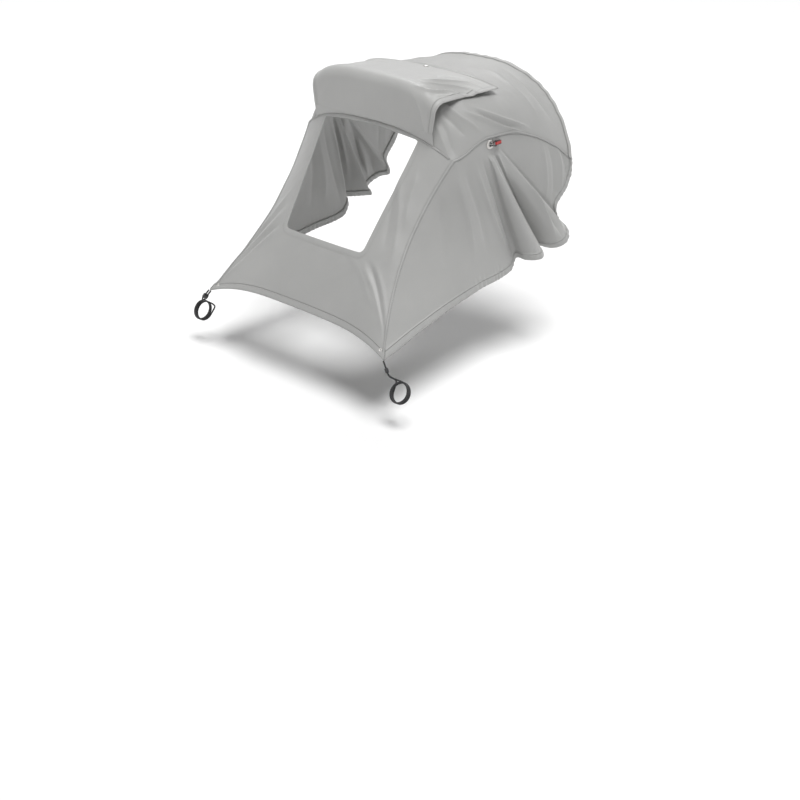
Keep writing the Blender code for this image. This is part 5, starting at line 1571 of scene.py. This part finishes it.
# %% Rows of stitches
STITCH_PITCH, STITCH, THREAD = 0.0032, 0.0024, 0.00019


def sew(bm, line):
    """Sews along a line of points, a thread for each stitch."""
    run = np.concatenate([[0], np.cumsum(np.linalg.norm(np.diff(line, axis=0), axis=1))])
    starts = np.arange(0.5 * STITCH_PITCH, run[-1] - STITCH, STITCH_PITCH)
    heads, tails = [np.stack([np.interp(starts + shift, run, line[:, k]) for k in range(3)], axis=1)
                    for shift in (0, STITCH)]
    for a, b in zip(heads, tails):
        way = Vector(b - a)
        turn = way.to_track_quat("Z", "Y").to_matrix().to_4x4()
        size = Matrix.Diagonal((THREAD, 0.7 * THREAD, 0.5 * way.length, 1))
        bmesh.ops.create_icosphere(bm, subdivisions=1, radius=1.0,
                                   matrix=Matrix.Translation(Vector(0.5 * (a + b))) @ turn @ size)
    return len(starts)


def sewn_line(at, distance, lift, shares, folds=SAIL_FOLDS, side=1):
    D = np.full_like(shares, distance)
    base, out = on_side(at(D, shares), side), on_side(facing(at, D[None], shares[None])[0], side)
    return settle(base, folds) + out * lift


def thread_material():
    mat, nodes, links, shader = new_material("grey_thread")
    tone = two_tones(nodes, links, noise(nodes, links, 300.0), (0.24, 0.24, 0.235), (0.34, 0.34, 0.33))
    links.new(tone, shader.inputs["Base Color"])
    shader.inputs["Roughness"].default_value = 0.55
    return mat


YARN = thread_material()
FINE = np.linspace(0.004, 0.996, 500)


def sail_stitches(bm):
    count = 0
    for _, side in SIDES:
        for distance in SEWN_ROWS:
            count += sew(bm, sewn_line(felled, distance, 0.0012, np.linspace(0.015, 0.993, 600), side=side))
        count += sew(bm, sewn_line(side_edge, SIDE_HEM - 0.0010, 0.0012, SIDE_RUN, side=side))
    count += sew(bm, sewn_line(rear_edge, REAR_HEM - 0.0008, 0.0012, FINE))
    count += sew(bm, sewn_line(front_edge, FRONT_HEM - 0.0012, 0.0008, FINE))
    count += sew(bm, sewn_line(over_window, 0.0018, 0.0010, FINE))
    return count


def window_stitches(bm):
    lane = np.array([(WINDOW_HEM - 0.0012, 0.0006)])
    across, up = window_ring(lane)
    return sew(bm, laid(front_surface, across, up, lane[:, 1:])[0])


def flap_stitches(bm):
    count = 0
    for _, side in SIDES:
        for distance in (0.0016, FLAP_HEM - 0.0012):
            count += sew(bm, sewn_line(flap_side, distance, 0.0007, FINE, FLAP_FOLDS, side))
    for distance in (0.0016, FLAP_EDGE_HEM - 0.0012):
        count += sew(bm, sewn_line(flap_end, distance, 0.0007, FINE, FLAP_FOLDS))
    return count


bm = bmesh.new()
sewn = sail_stitches(bm) + window_stitches(bm)
sail_thread = to_object("sail_thread", bm)
finish_piece(sail_thread, YARN, "grey_cloth", "sail")
bm = bmesh.new()
sewn += flap_stitches(bm)
flap_thread = to_object("flap_thread", bm)
finish_piece(flap_thread, YARN, "flap_cloth", None)
bend_flap(flap_thread)
print(sewn, "stitches")

# %% [markdown]
# ## Floor and light
# The photograph is a studio picture on white with soft light from above. A pale floor well below the shade
# takes its shadow. The world is white to look at, also in the metal, and darker for the light that it
# gives.

# %% Studio
FLOOR_Z, FLOOR_SIZE, FLOOR_WHITE = -0.475, 30.0, (0.995, 0.995, 0.995, 1)
SUN_POWER, SUN_SPREAD, SUN_WAY = 2.65, math.radians(32), (-0.28, 0.06, -0.955)
LIGHT_TARGET = (0.0, 0.0, -0.15)
# name, place, diameter and power of the two lamps
LAMPS = (("from_the_left", (-1.6, -1.9, 1.2), 1.6, 4.0), ("from_behind", (-1.0, 1.5, 1.5), 0.9, 12.0))
WORLD_LIGHT = 0.17


def studio_floor():
    bm = bmesh.new()
    bmesh.ops.create_grid(bm, x_segments=1, y_segments=1, size=FLOOR_SIZE)
    bmesh.ops.translate(bm, verts=bm.verts[:], vec=(0, 0, FLOOR_Z))
    floor = to_object("studio_floor", bm)
    mat, _, _, shader = new_material("white_floor")
    shader.inputs["Base Color"].default_value = FLOOR_WHITE
    shader.inputs["Roughness"].default_value = 0.9
    shader.inputs["Specular IOR Level"].default_value = 0.1
    floor.data.materials.append(mat)
    return floor


def new_light(name, kind, power, way, place=(0, 0, 0)):
    """A light at a place that shines the given way."""
    data = bpy.data.lights.new(name, kind)
    data.energy = power
    lamp = bpy.data.objects.new(name, data)
    lamp.location = place
    lamp.rotation_euler = Vector(way).to_track_quat("-Z", "Y").to_euler()
    HOME.objects.link(lamp)
    return data


studio_floor()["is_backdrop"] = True
new_light("soft_sun", "SUN", SUN_POWER, SUN_WAY).angle = SUN_SPREAD
for name, place, size, power in LAMPS:
    light = new_light(name, "AREA", power, Vector(LIGHT_TARGET) - Vector(place), place)
    light.shape, light.size = "DISK", size


def white_world():
    world = bpy.data.worlds.new("white")
    world.use_nodes = True
    nodes, links = world.node_tree.nodes, world.node_tree.links
    light = nodes["Background"]
    light.inputs["Color"].default_value = (1, 1, 1, 1)
    light.inputs["Strength"].default_value = WORLD_LIGHT
    seen = add(nodes, "ShaderNodeBackground")
    seen.inputs["Color"].default_value = (1, 1, 1, 1)
    seen.inputs["Strength"].default_value = 1.0
    path = add(nodes, "ShaderNodeLightPath").outputs
    clear = maths(nodes, links, "MAXIMUM", path["Is Glossy Ray"], path["Is Transmission Ray"])
    mix = add(nodes, "ShaderNodeMixShader")
    links.new(maths(nodes, links, "MAXIMUM", path["Is Camera Ray"], clear), mix.inputs[0])
    links.new(light.outputs[0], mix.inputs[1])
    links.new(seen.outputs[0], mix.inputs[2])
    links.new(mix.outputs[0], nodes["World Output"].inputs["Surface"])
    bpy.context.scene.world = world


white_world()
bpy.context.scene.view_settings.view_transform = "Standard"

# %% [markdown]
# ## Last
# The finished pieces may stand a few millimetres outside the solid model, no more. Both boxes are kept,
# and their sizes are printed to compare.

# %% Compare the sizes and finish
shown_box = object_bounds()
for axis, label in enumerate(("width", "depth", "height")):
    solid = solid_box[1][axis] - solid_box[0][axis]
    shown = shown_box[1][axis] - shown_box[0][axis]
    print(f"{label}: solid {1000 * solid:.1f} mm, shown {1000 * shown:.1f} mm")
